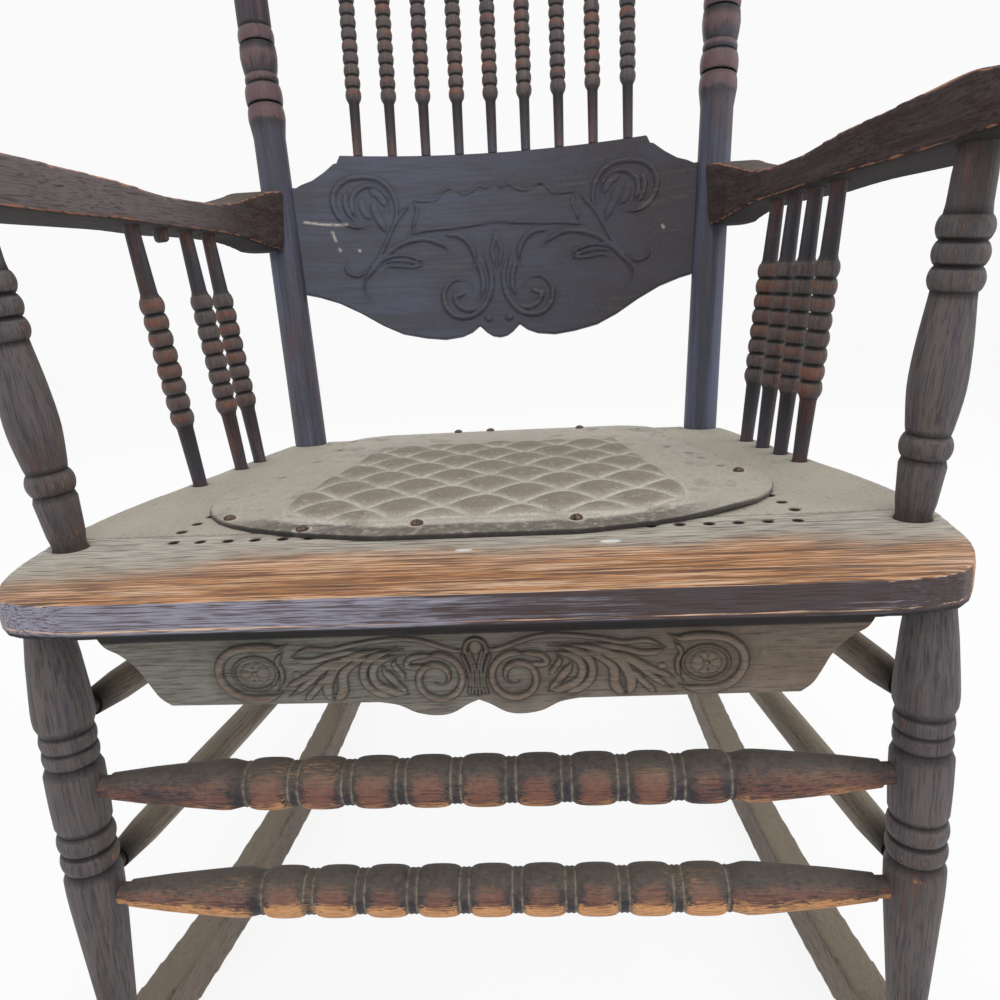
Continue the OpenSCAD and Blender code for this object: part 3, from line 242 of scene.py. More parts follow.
# Turnings, as shares of a radius and a length.
BULGE_SHARES = [(0.95, 0), (1, 0.35), (0.985, 0.75), (0.94, 1)]
VASE_SHARES = [(0.89, 0.12), (0.96, 0.4), (1, 0.66), (0.96, 1)]
FINIAL_SHARES = [(0.52, 0), (0.76, 0.14), (0.87, 0.42), (0.82, 0.68), (0.63, 0.88), (0.35, 0.98),
    (0.12, 1)]
LEG_ANKLE_SHARES = [(0.66, 0.08), (0.8, 0.2), (0.98, 0.36), (1, 0.42)]
LEG_CALF_SHARES = [(0.97, 0.545), (1, 0.6), (1, 0.66)]
LEG_TOP_SHARES = [(0.99, 0.77), (1, 0.8), (0.86, 0.9)]
RUNG_SHARES = [(0.9, 0.08), (1, 0.35), (1, 0.65), (0.9, 0.92)]
STRETCHER_END_SHARES = [(0.72, 0.3), (0.95, 0.78), (0.97, 0.9)]
BARREL_SHARES = [(0.845, 0), (0.875, 0.055), (0.84, 0.095), (0.86, 0.115), (0.925, 0.16),
    (0.972, 0.24), (0.994, 0.36), (1, 0.5)]
ARM_POST_FOOT_SHARES = [(0.75, 0.05), (0.86, 0.16)]
ARM_POST_VASE_SHARES = [(0.84, 0.27), (1, 0.38), (0.95, 0.5), (0.8, 0.62)]
ARM_POST_NECK_SHARES = [(0.74, 0.86), (0.72, 0.93)]
ARM_FOOT_SHARES = [(0.873, 0.586), (0.8025, 0.785)]
ARM_HEAD_SHARES = [(0.375, 0.533), (0.232, 0.8055)]
SIDE_SLOPE_SHARE = 0.045
REAR_STRETCHER_SHARE = 0.45
LAST_SPINDLE = 3
BROKEN = 1
OUTER_SPINDLE = 4

# Rows of beads: the share of their start, their number, and the shares of a bead's length and radius.
LEG_BEADS = (0.44, 2, 0.045, 1)
LEG_TOP_BEADS = (0.68, 2, 0.035, 0.94)
ARM_POST_FOOT_BEAD = (0.18, 1, 0.07, 0.95)
ARM_POST_HEAD_BEADS = (0.64, 3, 0.065, 0.95)


# Curves.

def lerp(a, b, t):
    return a + (b - a) * t


def smooth_step(low, high, value):
    t = np.clip((value - low) / (high - low), 0, 1)
    return t * t * (3 - 2 * t)


def smooth(points, steps):
    """A smooth line through points, with steps points from each one to the next."""
    made = []
    for i in range(len(points) - 1):
        a, b = points[max(i - 1, 0)], points[i]
        c, d = points[i + 1], points[min(i + 2, len(points) - 1)]
        for k in range(steps):
            t = k / steps
            made.append(tuple(
                q + t * (r - p) / 2 + t * t * (2 * p - 5 * q + 4 * r - s) / 2
                + t * t * t * (3 * q - p - 3 * r + s) / 2
                for p, q, r, s in zip(a, b, c, d)))
    return made + [tuple(points[-1])]


def shaped(shares, radius, start, length):
    return [(r * radius, start + z * length) for r, z in shares]


def flipped(line, length):
    """The same line, from the other end of a piece."""
    return [(r, length - z) for r, z in reversed(line)]


def bell(value, middle, width):
    """1 at the middle, and less and less on both sides of it."""
    return np.exp(-((value - middle) / width) ** 2)


def wave(place, height, turns, start=0):
    """A wavy line, whose turns are in radians a metre."""
    return height * np.sin(place * turns + start)


def rounded(rim, reach):
    """How far a rounded arris drops, from 1 at the rim to 0 at its reach."""
    return 1 - np.sqrt(1 - np.clip(1 - rim / reach, 0, 1) ** 2)


def from_spots(x, y, spots):
    """How far places lie from the nearest of some spots."""
    return np.min([np.hypot(x - a, y - b) for a, b in spots], axis=0)


BEAD_STEPS = 12
BEAD_SHARE = 0.7


def bead_row(start, number, length, low, high):
    """A row of round beads, from radius low in the grooves to high on the crests."""
    return [(low + (high - low) * abs(math.sin(math.pi * j / BEAD_STEPS)) ** BEAD_SHARE,
             start + j * length / BEAD_STEPS) for j in range(number * BEAD_STEPS + 1)]


def bow_y(x, half, bow):
    """How far a bowed board lies to the rear at a distance x from its middle."""
    radius = (half * half + bow * bow) / (2 * bow)
    return bow - radius + np.sqrt(radius * radius - x * x)


# Mesh helpers.

def only(obj):
    """Selects one object and nothing else."""
    bpy.ops.object.select_all(action="DESELECT")
    obj.select_set(True)
    bpy.context.view_layer.objects.active = obj
    return obj


def vertex_vectors(obj, key):
    made = np.empty(len(obj.data.vertices) * 3)
    obj.data.vertices.foreach_get(key, made)
    return made.reshape(-1, 3)


def coords(obj):
    return vertex_vectors(obj, "co")


def normals(obj):
    return vertex_vectors(obj, "normal")


def set_coords(obj, places):
    obj.data.vertices.foreach_set("co", np.ascontiguousarray(places, float).ravel())
    obj.data.update()


def mark(obj, **layers):
    """Stores a number or a vector at each vertex, for the materials."""
    for name, values in layers.items():
        values = np.asarray(values, float)
        vector = values.ndim == 2
        layer = obj.data.attributes.get(name)
        if layer is None:
            layer = obj.data.attributes.new(name, "FLOAT_VECTOR" if vector else "FLOAT", "POINT")
        layer.data.foreach_set("vector" if vector else "value", values.ravel())


def marked(obj, name):
    """The numbers that mark stored."""
    made = np.empty(len(obj.data.vertices))
    obj.data.attributes[name].data.foreach_get("value", made)
    return made


def apply_modifier(obj, kind, **settings):
    """Adds a modifier and applies it."""
    only(obj)
    made = obj.modifiers.new(kind.title(), kind)
    for key, value in settings.items():
        setattr(made, key, value)
    bpy.ops.object.modifier_apply(modifier=made.name)
    return obj


def place(obj, matrix):
    """Moves a piece to its place and leaves its object at the origin."""
    only(obj)
    obj.matrix_world = matrix
    bpy.ops.object.transform_apply(location=True, rotation=True, scale=True)
    return obj


def grain_shift(name):
    """A place in the timber that belongs to one piece alone."""
    own = random.Random(name)
    return np.array([own.uniform(-3, 3) for _ in range(3)])


def finished(obj, material, slot, *nodes):
    """Gives a piece its material and its part in the frame."""
    obj.data.materials.clear()
    obj.data.materials.append(material)
    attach(obj, BODY)
    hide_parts(*nodes)
    return obj


RAISED_REACH = 0.008
RAISED_LEAST = 0.0006
GROOVE_REACH = 0.0026
GROOVE_DEEP = 0.0006


def raised_along(profile):
    """How far each point of a turning stands out from its neighbours, from 0 to 1."""
    radii, heights = np.transpose(profile)
    made = []
    for r, z in profile:
        near = radii[np.abs(heights - z) < RAISED_REACH]
        spread = near.max() - near.min()
        made.append((r - near.min()) / spread if spread > RAISED_LEAST else 0.5)
    return np.array(made)


def grooves_along(profile, up):
    """How deep the turning lies below what is next to it, from 0 to 1."""
    radii, heights = np.transpose(profile)
    around = np.mean([np.interp(up + step, heights, radii) for step in (-GROOVE_REACH, GROOVE_REACH)], axis=0)
    return np.clip((around - np.interp(up, heights, radii)) / GROOVE_DEEP, 0, 1)


MERGE = 0.00001
TURNED_ANGLE = 50
CARVED_ANGLE = 40


def edit_all(obj):
    """Goes to edit mode with the whole piece selected."""
    only(obj)
    bpy.ops.object.mode_set(mode="EDIT")
    bpy.ops.mesh.select_all(action="SELECT")


def closed(obj, degrees):
    """Merges what meets, closes what is open, turns the faces outwards and smooths them."""
    edit_all(obj)
    bpy.ops.mesh.remove_doubles(threshold=MERGE)
    bpy.ops.mesh.select_all(action="SELECT")
    bpy.ops.mesh.fill_holes(sides=0)
    bpy.ops.mesh.select_all(action="SELECT")
    bpy.ops.mesh.normals_make_consistent(inside=False)
    bpy.ops.object.mode_set(mode="OBJECT")
    bpy.ops.object.shade_smooth_by_angle(angle=math.radians(degrees))


def turned(name, profile, segments=40):
    """A turned solid that stands on its axis: its profile is drawn as a line and spun round."""
    bpy.ops.object.select_all(action="DESELECT")
    bpy.ops.mesh.primitive_plane_add(size=profile[0][0], location=(0, 0, 0))
    obj = bpy.context.object
    obj.name = name
    edit_all(obj)
    bpy.ops.mesh.merge(type="CENTER")
    line = [(0, profile[0][1]), *profile, (0, profile[-1][1])]
    bpy.ops.transform.translate(value=(0, 0, line[0][1]))
    for (r0, z0), (r1, z1) in zip(line, line[1:]):
        bpy.ops.mesh.extrude_region_move(TRANSFORM_OT_translate={"value": (r1 - r0, 0, z1 - z0)})
    bpy.ops.mesh.select_all(action="SELECT")
    bpy.ops.mesh.spin(steps=segments, angle=math.tau, center=(0, 0, 0), axis=(0, 0, 1))
    bpy.ops.object.mode_set(mode="OBJECT")
    closed(obj, TURNED_ANGLE)
    up = coords(obj)[:, 2]
    # Crests are marked for wear; grooves are marked for painted shade.
    mark(obj, raised=np.interp(up, [z for _, z in profile], raised_along(profile)),
         recess=grooves_along(profile, up))
    return obj


def copied(obj, name):
    """A copy of a piece with a mesh of its own."""
    only(obj)
    bpy.ops.object.duplicate(linked=False)
    made = bpy.context.object
    made.name = name
    return made


def aimed(spot, axis):
    """The place of a thing that stands at a spot with its own Z along an axis."""
    return Matrix.Translation(spot) @ axis.to_track_quat("Z", "Y").to_matrix().to_4x4()


def stood(obj, low, high, rubbed=None):
    """Stands a turned piece with its axis from low to high, and marks its grain."""
    here = coords(obj)
    worn = rubbed(obj, here) if rubbed else np.zeros(len(here))
    mark(obj, grain=here + grain_shift(obj.name), rubbed=worn)
    return place(obj, aimed(low, high - low))


def turning(name, profile, low, high, look, slot, segments=40, rubbed=None):
    """Turns the piece of one node, stands it up and finishes it."""
    obj = stood(turned(name + "_turned", profile, segments), low, high, rubbed)
    return finished(obj, look, slot, name)


def pair(first, start_of_name, axis, look, slot, rubbed=None):
    """Stands a copy of a turned piece on each side, and takes the first one away."""
    for side, sign in SIDES.items():
        name = start_of_name + side
        obj = stood(copied(first, name + "_turned"), *axis(sign), rubbed)
        finished(obj, look, slot, name)
    bpy.data.objects.remove(first)


def curvature(obj, rounds):
    """How sharply the surface turns at each vertex: more than 0 on edges, less in corners."""
    edges = np.empty(len(obj.data.edges) * 2, int)
    obj.data.edges.foreach_get("vertices", edges)
    first, second = edges.reshape(-1, 2).T
    number = len(obj.data.vertices)
    degree = np.bincount(first, minlength=number) + np.bincount(second, minlength=number)
    degree = np.maximum(degree, 1)

    def mean(values):
        return (np.bincount(first, values[second], number)
                + np.bincount(second, values[first], number)) / degree

    here = coords(obj)
    around = np.column_stack([mean(here[:, k]) for k in range(3)])
    made = ((here - around) * normals(obj)).sum(axis=1)
    for _ in range(rounds):
        made = mean(made)
    return made


# Wear swings in three waves that cross, each given in radians a metre along x, y and z.
WEAR_WAVES = ((83, 0, 151), (197, 61, 0), (37, 121, 0))
EVEN_WEAR_SHARE = 0.6
EDGE_SHARE = 0.12
ARRIS_FACING = (0.40, 0.62)


def softened(name, voxel, rounds, wear, grain_order):
    """A worn copy of a sawn piece: its arrises are rounded over and rubbed away unevenly."""
    obj = copied(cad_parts[name], name + "_worn")
    for key in list(obj.keys()):
        del obj[key]
    obj.parent = None
    obj.matrix_world = Matrix.Identity(4)
    edit_all(obj)
    bpy.ops.mesh.remove_doubles(threshold=MERGE)
    bpy.ops.object.mode_set(mode="OBJECT")
    apply_modifier(obj, "REMESH", mode="VOXEL", voxel_size=voxel)
    apply_modifier(obj, "SMOOTH", factor=0.5, iterations=rounds)
    edge = np.clip(curvature(obj, 2) / (voxel * EDGE_SHARE), -1, 1)
    here = coords(obj)
    waves = np.sin(here @ np.transpose(WEAR_WAVES)).mean(axis=1)
    loss = wear * np.clip(edge, 0, 1) * (EVEN_WEAR_SHARE + (1 - EVEN_WEAR_SHARE) * waves)
    set_coords(obj, here - normals(obj) * loss[:, None])
    apply_modifier(obj, "SMOOTH", factor=0.5, iterations=1)
    bpy.ops.object.shade_smooth()
    facing = normals(obj)
    arris = np.minimum(np.abs(facing[:, 2]), np.hypot(facing[:, 0], facing[:, 1]))
    mark(obj, raised=np.maximum(edge, smooth_step(*ARRIS_FACING, arris)), rubbed=0 * arris,
         grain=coords(obj)[:, grain_order] + grain_shift(obj.name))
    return obj


# Material helpers.

def put(tree, socket, value):
    """Gives an input a plain value or the output of another node."""
    if isinstance(value, bpy.types.NodeSocket):
        tree.links.new(value, socket)
    else:
        socket.default_value = value


def node(tree, kind, inputs=None, **settings):
    """Adds a shader node. Its inputs are plain values or the outputs of other nodes."""
    made = tree.nodes.new(kind)
    for key, value in settings.items():
        setattr(made, key, value)
    for key, value in (inputs or {}).items():
        put(tree, made.inputs[key], value)
    return made


def calc(tree, operation, a, b=0.0, c=0.0):
    return node(tree, "ShaderNodeMath", {0: a, 1: b, 2: c}, operation=operation).outputs[0]


def times(tree, a, b):
    return calc(tree, "MULTIPLY", a, b)


def fade(tree, value, low, high, to_low=0.0, to_high=1.0):
    """A smooth step from to_low to to_high as the value goes from low to high."""
    return node(tree, "ShaderNodeMapRange",
                {"Value": value, "From Min": low, "From Max": high, "To Min": to_low,
                 "To Max": to_high}, interpolation_type="SMOOTHSTEP").outputs[0]


def rgba(colour):
    return (*colour, 1)


def blend(tree, share, a, b):
    """Mixes two colours."""
    a, b = [value if isinstance(value, bpy.types.NodeSocket) else rgba(value) for value in (a, b)]
    return node(tree, "ShaderNodeMix", {0: share, 6: a, 7: b}, data_type="RGBA").outputs[2]


def layered(tree, base, *layers):
    """Lays colours over a base one after another, each through its mask."""
    for mask, colour in layers:
        base = blend(tree, mask, base, colour)
    return base


def ramp(tree, value, *stops):
    """A colour that runs through the stops: each is a place from 0 to 1 and a colour."""
    made = node(tree, "ShaderNodeValToRGB", {"Fac": value})
    band = made.color_ramp.elements
    for element, (spot, colour) in zip(band, (stops[0], stops[-1])):
        element.position, element.color = spot, rgba(colour)
    for spot, colour in stops[1:-1]:
        band.new(spot).color = rgba(colour)
    return made.outputs["Color"]


def attribute(tree, name, output="Fac"):
    return node(tree, "ShaderNodeAttribute", attribute_name=name).outputs[output]


def own_places(tree):
    return node(tree, "ShaderNodeTexCoord").outputs["Object"]


def up_facing(tree):
    """How much a surface faces up, from -1 to 1."""
    normal = node(tree, "ShaderNodeNewGeometry").outputs["Normal"]
    return node(tree, "ShaderNodeSeparateXYZ", {0: normal}).outputs[2]


def noise(tree, vector, across, along, detail, roughness, distortion=0.0):
    """A pattern with its own scale across the wood and along it, which is the third axis."""
    scaled_to = node(tree, "ShaderNodeMapping", {"Vector": vector, "Scale": (across, across, along)},
                     vector_type="POINT").outputs[0]
    return node(tree, "ShaderNodeTexNoise",
                {"Vector": scaled_to, "Scale": 1.0, "Detail": detail, "Roughness": roughness,
                 "Distortion": distortion}).outputs["Fac"]


def centred(tree, value, strength):
    """A pattern that swings round 0."""
    return times(tree, calc(tree, "SUBTRACT", value, 0.5), strength)


def summed(tree, first, *others):
    for other in others:
        first = calc(tree, "ADD", first, other)
    return first


FINER = 4.5


def grain_noises(tree, across, along):
    """The patterns that every old wood shares, from fine pores to broad blotches."""
    grain = attribute(tree, "grain", "Vector")
    kinds = {"streaks": (across, along, 5.0, 0.6, 0.3),
             "fine": (across * FINER, along * FINER, 3.0, 0.6),
             "pores": (1100.0, 38.0, 2.0, 0.5),
             "blotches": (24.0, 13.0, 4.0, 0.62),
             "specks": (260.0, 260.0, 4.0, 0.65)}
    return {name: noise(tree, grain, *kind) for name, kind in kinds.items()}


def grain_lines(tree, marks, share):
    """The grain's lines: the streaks by their share and the fine ones by the rest."""
    return calc(tree, "MULTIPLY_ADD", marks["streaks"], share, times(tree, marks["fine"], 1 - share))


def new_material(name):
    made = bpy.data.materials.new(name)
    made.use_nodes = True
    return made, made.node_tree, made.node_tree.nodes["Principled BSDF"]


def joined(tree, shader, base, rough, height, strength, depth):
    """Joins a surface's colour, roughness and relief to its shader."""
    put(tree, shader.inputs["Base Color"], base)
    put(tree, shader.inputs["Roughness"], rough)
    bump = node(tree, "ShaderNodeBump", {"Height": height, "Strength": strength, "Distance": depth})
    put(tree, shader.inputs["Normal"], bump.outputs[0])


def finish_wood(tree, shader, base, marks, dull, depth):
    """Gives a wood its colour, roughness and grain relief."""
    shader.inputs["Specular IOR Level"].default_value = 0.3
    height = calc(tree, "MULTIPLY_ADD", marks["pores"], -0.5,
                  calc(tree, "MULTIPLY_ADD", marks["specks"], 0.3, marks["fine"]))
    joined(tree, shader, base, dull, height, 0.6, depth)


def old_wood(name, stain, streak, worn, dust, rubbed, tint, wear=0.5, dusting=0.3, streaky=0.6,
             across=150.0, along=5.0, gloss=0.5, pored=1.0):
    """Old stained oak: streaks and pores along the grain, rubbed crests, painted shade in grooves and dust.
    """
    made, tree, shader = new_material(name)
    black = bpy.context.scene.rocker_colours.black
    marks = grain_noises(tree, across, along)
    fine, blotches, specks = marks["fine"], marks["blotches"], marks["specks"]
    lines, raised = grain_lines(tree, marks, 0.5), attribute(tree, "raised")
    tinted = times(tree, attribute(tree, "tint"), fade(tree, blotches, 0.25, 0.6, 0.6, 1.0))
    handled = summed(tree, attribute(tree, "rubbed"), centred(tree, fine, 2.1),
                     centred(tree, blotches, 1.6))
    bare = summed(tree, calc(tree, "MAXIMUM", attribute(tree, "bare"), raised),
                  centred(tree, blotches, 1.6), centred(tree, fine, 2.2))
    lying = summed(tree, times(tree, up_facing(tree), 0.75), times(tree, raised, -0.25),
                   centred(tree, specks, 1.5), centred(tree, blotches, 1.0))
    dusted = fade(tree, lying, -0.1, 0.95, 0.0, dusting)
    speckled = times(tree, attribute(tree, "dust"), fade(tree, specks, 0.40, 0.60, 0.4, 1.0))
    base = layered(
        tree, stain,
        (fade(tree, lines, 0.42, 0.60, 0.0, streaky), streak),
        (tinted, tint),
        (fade(tree, blotches, 0.45, 0.72, 0.0, 0.35), black),
        (fade(tree, handled, 0.2, 0.75), rubbed),
        (fade(tree, bare, 1.55 - wear, 1.9 - wear, 0.0, 0.9), worn),
        (fade(tree, fine, 0.52, 0.66, 0.0, 0.5 * pored), black),
        (fade(tree, marks["pores"], 0.54, 0.66, 0.0, 0.55 * pored), black),
        (dusted, dust),
        # Painted shade: black in grooves, holes, hollows and under parts, as marked on each piece.
        (times(tree, attribute(tree, "recess"), 0.95), black),
        (speckled, dust))
    dull = calc(tree, "MULTIPLY_ADD", dusted, 0.35, fade(tree, lines, 0.3, 0.7, gloss, gloss + 0.15))
    finish_wood(tree, shader, base, marks, dull, lerp(0.0002, 0.0006, pored))
    return made


def worn_seat_wood(name):
    """The seat's front board: dusty behind, worn to streaky orange in front, blue on its face, partly as a
    painted sheen.
    """
    made, tree, shader = new_material(name)
    c = bpy.context.scene.rocker_colours
    marks = grain_noises(tree, 520.0, 10.0)
    lines, blotches = grain_lines(tree, marks, 0.75), marks["blotches"]
    uneven, patchy = centred(tree, lines, 2.6), centred(tree, blotches, 1.2)
    dusty = ramp(tree, summed(tree, lines, centred(tree, blotches, 0.3)),
                 (0.30, c.dusty_dark), (0.42, c.dusty), (0.60, c.seam))
    band = ramp(tree, summed(tree, lines, centred(tree, blotches, 0.25)),
                (0.36, c.band_dark), (0.43, c.band_brown), (0.50, c.orange), (0.60, c.honey))
    middle = ramp(tree, lines, (0.36, c.band_dark), (0.44, c.band_brown), (0.54, c.dusty))
    share = summed(tree, attribute(tree, "rubbed"), uneven, patchy)
    side = summed(tree, attribute(tree, "tint"), patchy, uneven)
    face = ramp(tree, side, (-0.3, c.face_blue_sheen), (0.30, c.face_blue_sheen), (0.75, c.face_plum))
    face = blend(tree, fade(tree, marks["fine"], 0.50, 0.64, 0.0, 0.55), face, c.slate_dark)
    edge = summed(tree, attribute(tree, "raised"), uneven, patchy)
    worn = ramp(tree, lines, (0.42, c.pink), (0.54, c.honey))
    base = layered(
        tree, dusty,
        (fade(tree, share, 0.10, 0.55, 0.0, 0.9), middle),
        (fade(tree, share, 0.35, 0.95), band),
        (attribute(tree, "front"), face),
        (fade(tree, edge, 0.62, 1.0, 0.0, 0.9), worn),
        (fade(tree, marks["pores"], 0.50, 0.60, 0.0, 0.7), c.band_dark),
        (attribute(tree, "dust"), c.white),
        (attribute(tree, "recess"), c.black))
    finish_wood(tree, shader, base, marks, fade(tree, lines, 0.3, 0.7, 0.45, 0.7), 0.0009)
    return made


def embossed_board(name):
    """The pressed fibre of the seat panel: tufts darkened partly as painted shade, pale dusty seams and a
    smooth front rim.
    """
    made, tree, shader = new_material(name)
    c = bpy.context.scene.rocker_colours
    here = own_places(tree)
    specks = noise(tree, here, 700.0, 700.0, 4.0, 0.7)
    patches = noise(tree, here, 30.0, 30.0, 4.0, 0.6)
    crumbs = noise(tree, here, 220.0, 220.0, 3.0, 0.6)
    base = layered(
        tree, c.fibre,
        (fade(tree, patches, 0.35, 0.65), c.dusty),
        (times(tree, attribute(tree, "tuft"), 0.85), c.fibre_dark),
        (times(tree, attribute(tree, "rim"), fade(tree, crumbs, 0.66, 0.52, 0.85, 1.0)), c.rim),
        (times(tree, attribute(tree, "seam"), fade(tree, crumbs, 0.38, 0.60, 0.5, 1.0)), c.seam),
        (fade(tree, patches, 0.52, 0.70, 0.0, 0.6), c.fibre_dark),
        (fade(tree, crumbs, 0.54, 0.72, 0.0, 0.3), c.seam),
        (fade(tree, specks, 0.48, 0.34, 0.0, 0.55), c.rim),
        (times(tree, attribute(tree, "recess"), 0.9), c.black))
    joined(tree, shader, base, 0.8, calc(tree, "ADD", specks, patches), 0.35, 0.0007)
    return made


def plain_solid(name, colour, darker, roughness, metal=0.0, across=90.0):
    """A material for pieces without grain marks, such as dowels and screws."""
    made, tree, shader = new_material(name)
    here = own_places(tree)
    patches = noise(tree, here, across, across, 4.0, 0.6)
    fine = noise(tree, here, across * 9, across * 9, 2.0, 0.5)
    shader.inputs["Metallic"].default_value = metal
    base = blend(tree, fade(tree, patches, 0.35, 0.68), colour, darker)
    rough = fade(tree, fine, 0.3, 0.7, roughness - 0.08, roughness + 0.08)
    joined(tree, shader, base, rough, fine, 0.2, 0.0002)
    return made


def material(name, make, *args, **settings):
    """One material, made on its first use."""
    found = bpy.data.materials.get(name)
    return found if found else make(name, *args, **settings)


def wood(name, *colours, tinted="plum", **settings):
    """An old wood by its name, with the colours of its stain, streaks, wear, dust and rubbed places."""
    c = bpy.context.scene.rocker_colours
    return material(name, old_wood, *[getattr(c, colour) for colour in (*colours, tinted)], **settings)


def turned_oak():
    return wood("bobbin_oak", "bead_grey", "slate", "orange", "dusty_dark", "russet", tinted="slate",
                wear=0.25, dusting=0.25, pored=0.7)


def stretcher_oak():
    return wood("rubbed_stretcher_oak", "slate_dark", "face_plum", "amber", "dusty_dark", "russet",
                wear=1.2, dusting=0.35, across=260.0, along=22.0)


# The lighter blue streaks are laid thickly, partly as a painted blue sheen of light on the posts.
def post_oak():
    return wood("slate_post_oak", "slate", "slate_light", "rosewood", "dusty_dark", "rosewood",
                wear=0.1, dusting=0.15, streaky=0.9, across=80.0, along=2.0, gloss=0.42, pored=0.3)


def panel_oak():
    return wood("slate_panel_oak", "slate", "slate_light", "slate_light", "seam", "olive",
                wear=0.0, dusting=0.04, streaky=0.45, across=60.0, along=4.0, gloss=0.45, pored=0.15)


def arm_oak():
    return wood("walnut_arm_oak", "walnut", "ash", "pink", "dusty_dark", "russet", tinted="ash",
                wear=0.9, dusting=0.25, streaky=0.3, gloss=0.8, pored=0.8)


def dusty_oak():
    return wood("dusty_oak", "dusty_dark", "dusty", "dusty", "dusty", "dusty_dark",
                wear=0.1, dusting=1.0, across=110.0)


def runner_oak():
    return wood("runner_oak", "relief", "dusty_dark", "dusty_dark", "dusty_dark", "relief",
                wear=0.2, dusting=0.7)


def rung_oak():
    return wood("dusty_rung_oak", "dusty_dark", "relief", "dusty_dark", "dusty_dark", "relief",
                wear=0.1, dusting=0.8, streaky=0.8, along=3.0)


def apron_oak():
    return wood("grimy_apron_oak", "grime", "grime_dark", "relief", "dusty_dark", "relief", tinted="relief",
                wear=0.0, dusting=0.7, streaky=0.45, across=300.0, along=16.0, pored=0.7)


# Turned profiles, from the bottom up.

GROOVE_SHARE = 0.78
LEAD_SHARE = 0.22
SHOULDER_SHARE = 0.9
PIN_SHARE = 0.75
PIN_DEPTH = 0.006


def bobbin_profile(length, start, s, shaft, end):
    """A bobbin spindle: an end that both ends share, a shaft and a row of beads in the middle."""
    groove = s.bead / 2 * GROOVE_SHARE
    foot = [*end, (shaft, start - s.bead_length * LEAD_SHARE)]
    return (foot + [(groove, start)] + bead_row(start, s.beads, s.bead_length, groove, s.bead / 2)
            + flipped(foot, length))


def placed_beads(row, length, groove, radius):
    start, number, each, reach = row
    return bead_row(start * length, number, each * length, groove, radius * reach)


POST_TAPER = 0.012
POST_BULGE = 0.017
POST_GROOVE = 0.002
POST_BALL = 0.018
POST_RING = 0.009
POST_VASE = 0.028
POST_SMALL_BALL = 0.014
POST_FINIAL = 0.036
POST_DEPTH = 0.014
POST_GROOVE_SHARE = 0.93
POST_NECK_SHARE = 1.04
POST_RING_SHARES = (0.97, 1.05)
SMALL_BALL_SHARES = (0.9, 0.97)


def post_profile(s):
    """A back post: a plain part, a bulge, a ball, a ring, a vase, a small ball, a neck, a finial."""
    r, b = s.post / 2, s.ball / 2
    g, neck = r * POST_GROOVE_SHARE, r * POST_NECK_SHARE
    line = [(r, -POST_DEPTH), (r, s.post_plain)]
    z = s.post_plain + POST_TAPER
    for length, gap, shares, radius in (
            (POST_BULGE, POST_GROOVE, BULGE_SHARES, b),
            (POST_BALL, POST_GROOVE, (POST_GROOVE_SHARE, 1), b),
            (POST_RING, 0, POST_RING_SHARES, r),
            (POST_VASE, POST_GROOVE, VASE_SHARES, b),
            (POST_SMALL_BALL, POST_GROOVE, SMALL_BALL_SHARES, b)):
        if len(shares) == 2:
            line += bead_row(z, 1, length, radius * shares[0], radius * shares[1])
        else:
            line += shaped(shares, radius, z, length)
        z += length
        if gap:
            line += [(g, z), (g, z + gap)]
        z += gap
    top = s.post_length - POST_FINIAL
    line += [(neck, z + POST_GROOVE), (neck, top), (g, top), (g, top + POST_GROOVE)]
    return line + shaped(smooth(FINIAL_SHARES, 3), b, top + POST_GROOVE, POST_FINIAL - POST_GROOVE)


LEG_TOP = 0.024
LEG_TOP_DEPTH = 0.012
LEG_GROOVE_SHARE = 0.86
FOOT = 0.018
FOOT_DEPTH = 0.020
FOOT_STRAIGHT = 0.008


def leg_profile(length, leg):
    r = leg / 2
    groove = r * LEG_GROOVE_SHARE
    return ([(FOOT / 2, -FOOT_DEPTH), (FOOT / 2, FOOT_STRAIGHT)]
            + shaped(smooth(LEG_ANKLE_SHARES, 4), r, 0, length)
            + placed_beads(LEG_BEADS, length, groove, r)
            + shaped(smooth(LEG_CALF_SHARES, 3), r, 0, length)
            + placed_beads(LEG_TOP_BEADS, length, groove, r)
            + shaped(smooth(LEG_TOP_SHARES, 3), r, 0, length)
            + [(LEG_TOP / 2, length - FOOT_STRAIGHT), (LEG_TOP / 2, length + LEG_TOP_DEPTH)])


RUNG_TENON = 0.0065
RUNG_NECK = 0.008
RUNG_BARE = 0.006
FRONT_RUNG_DEPTH = 0.013
SIDE_RUNG_DEPTH = 0.009


def barrel_row(start, number, pitch, radius):
    """Barrel beads with a narrow collar between each two."""
    bead = BARREL_SHARES + flipped(BARREL_SHARES[1:-1], 1)
    row = [point for i in range(number) for point in shaped(bead, radius, start + i * pitch, pitch)]
    return row + [(radius * BARREL_SHARES[0][0], start + number * pitch)]


def front_stretcher_profile(half, s):
    """A front stretcher from one end to the other, with its middle at 0."""
    zone = s.beads * s.bead_pitch / 2
    bare = half - FRONT_RUNG_DEPTH - RUNG_BARE
    end = [(RUNG_TENON, -half), (RUNG_TENON, -bare), (RUNG_NECK, -bare)]
    end += shaped(smooth(STRETCHER_END_SHARES, 3), s.bead / 2, -bare, bare - zone)
    return end + barrel_row(-zone, s.beads, s.bead_pitch, s.bead / 2) + flipped(end, 0)


def rung_profile(length, depth, rung):
    bare = depth + RUNG_BARE
    end = [(RUNG_TENON, 0), (RUNG_TENON, bare), (RUNG_NECK, bare)]
    return end + shaped(smooth(RUNG_SHARES, 6), rung / 2, bare, length - 2 * bare) + flipped(end, length)


ARM_PIN = 0.0055
ARM_PIN_BARE = 0.005
ARM_SHAFT = 0.00625
ARM_POST_PIN = 0.010
ARM_POST_PIN_BARE = 0.0025


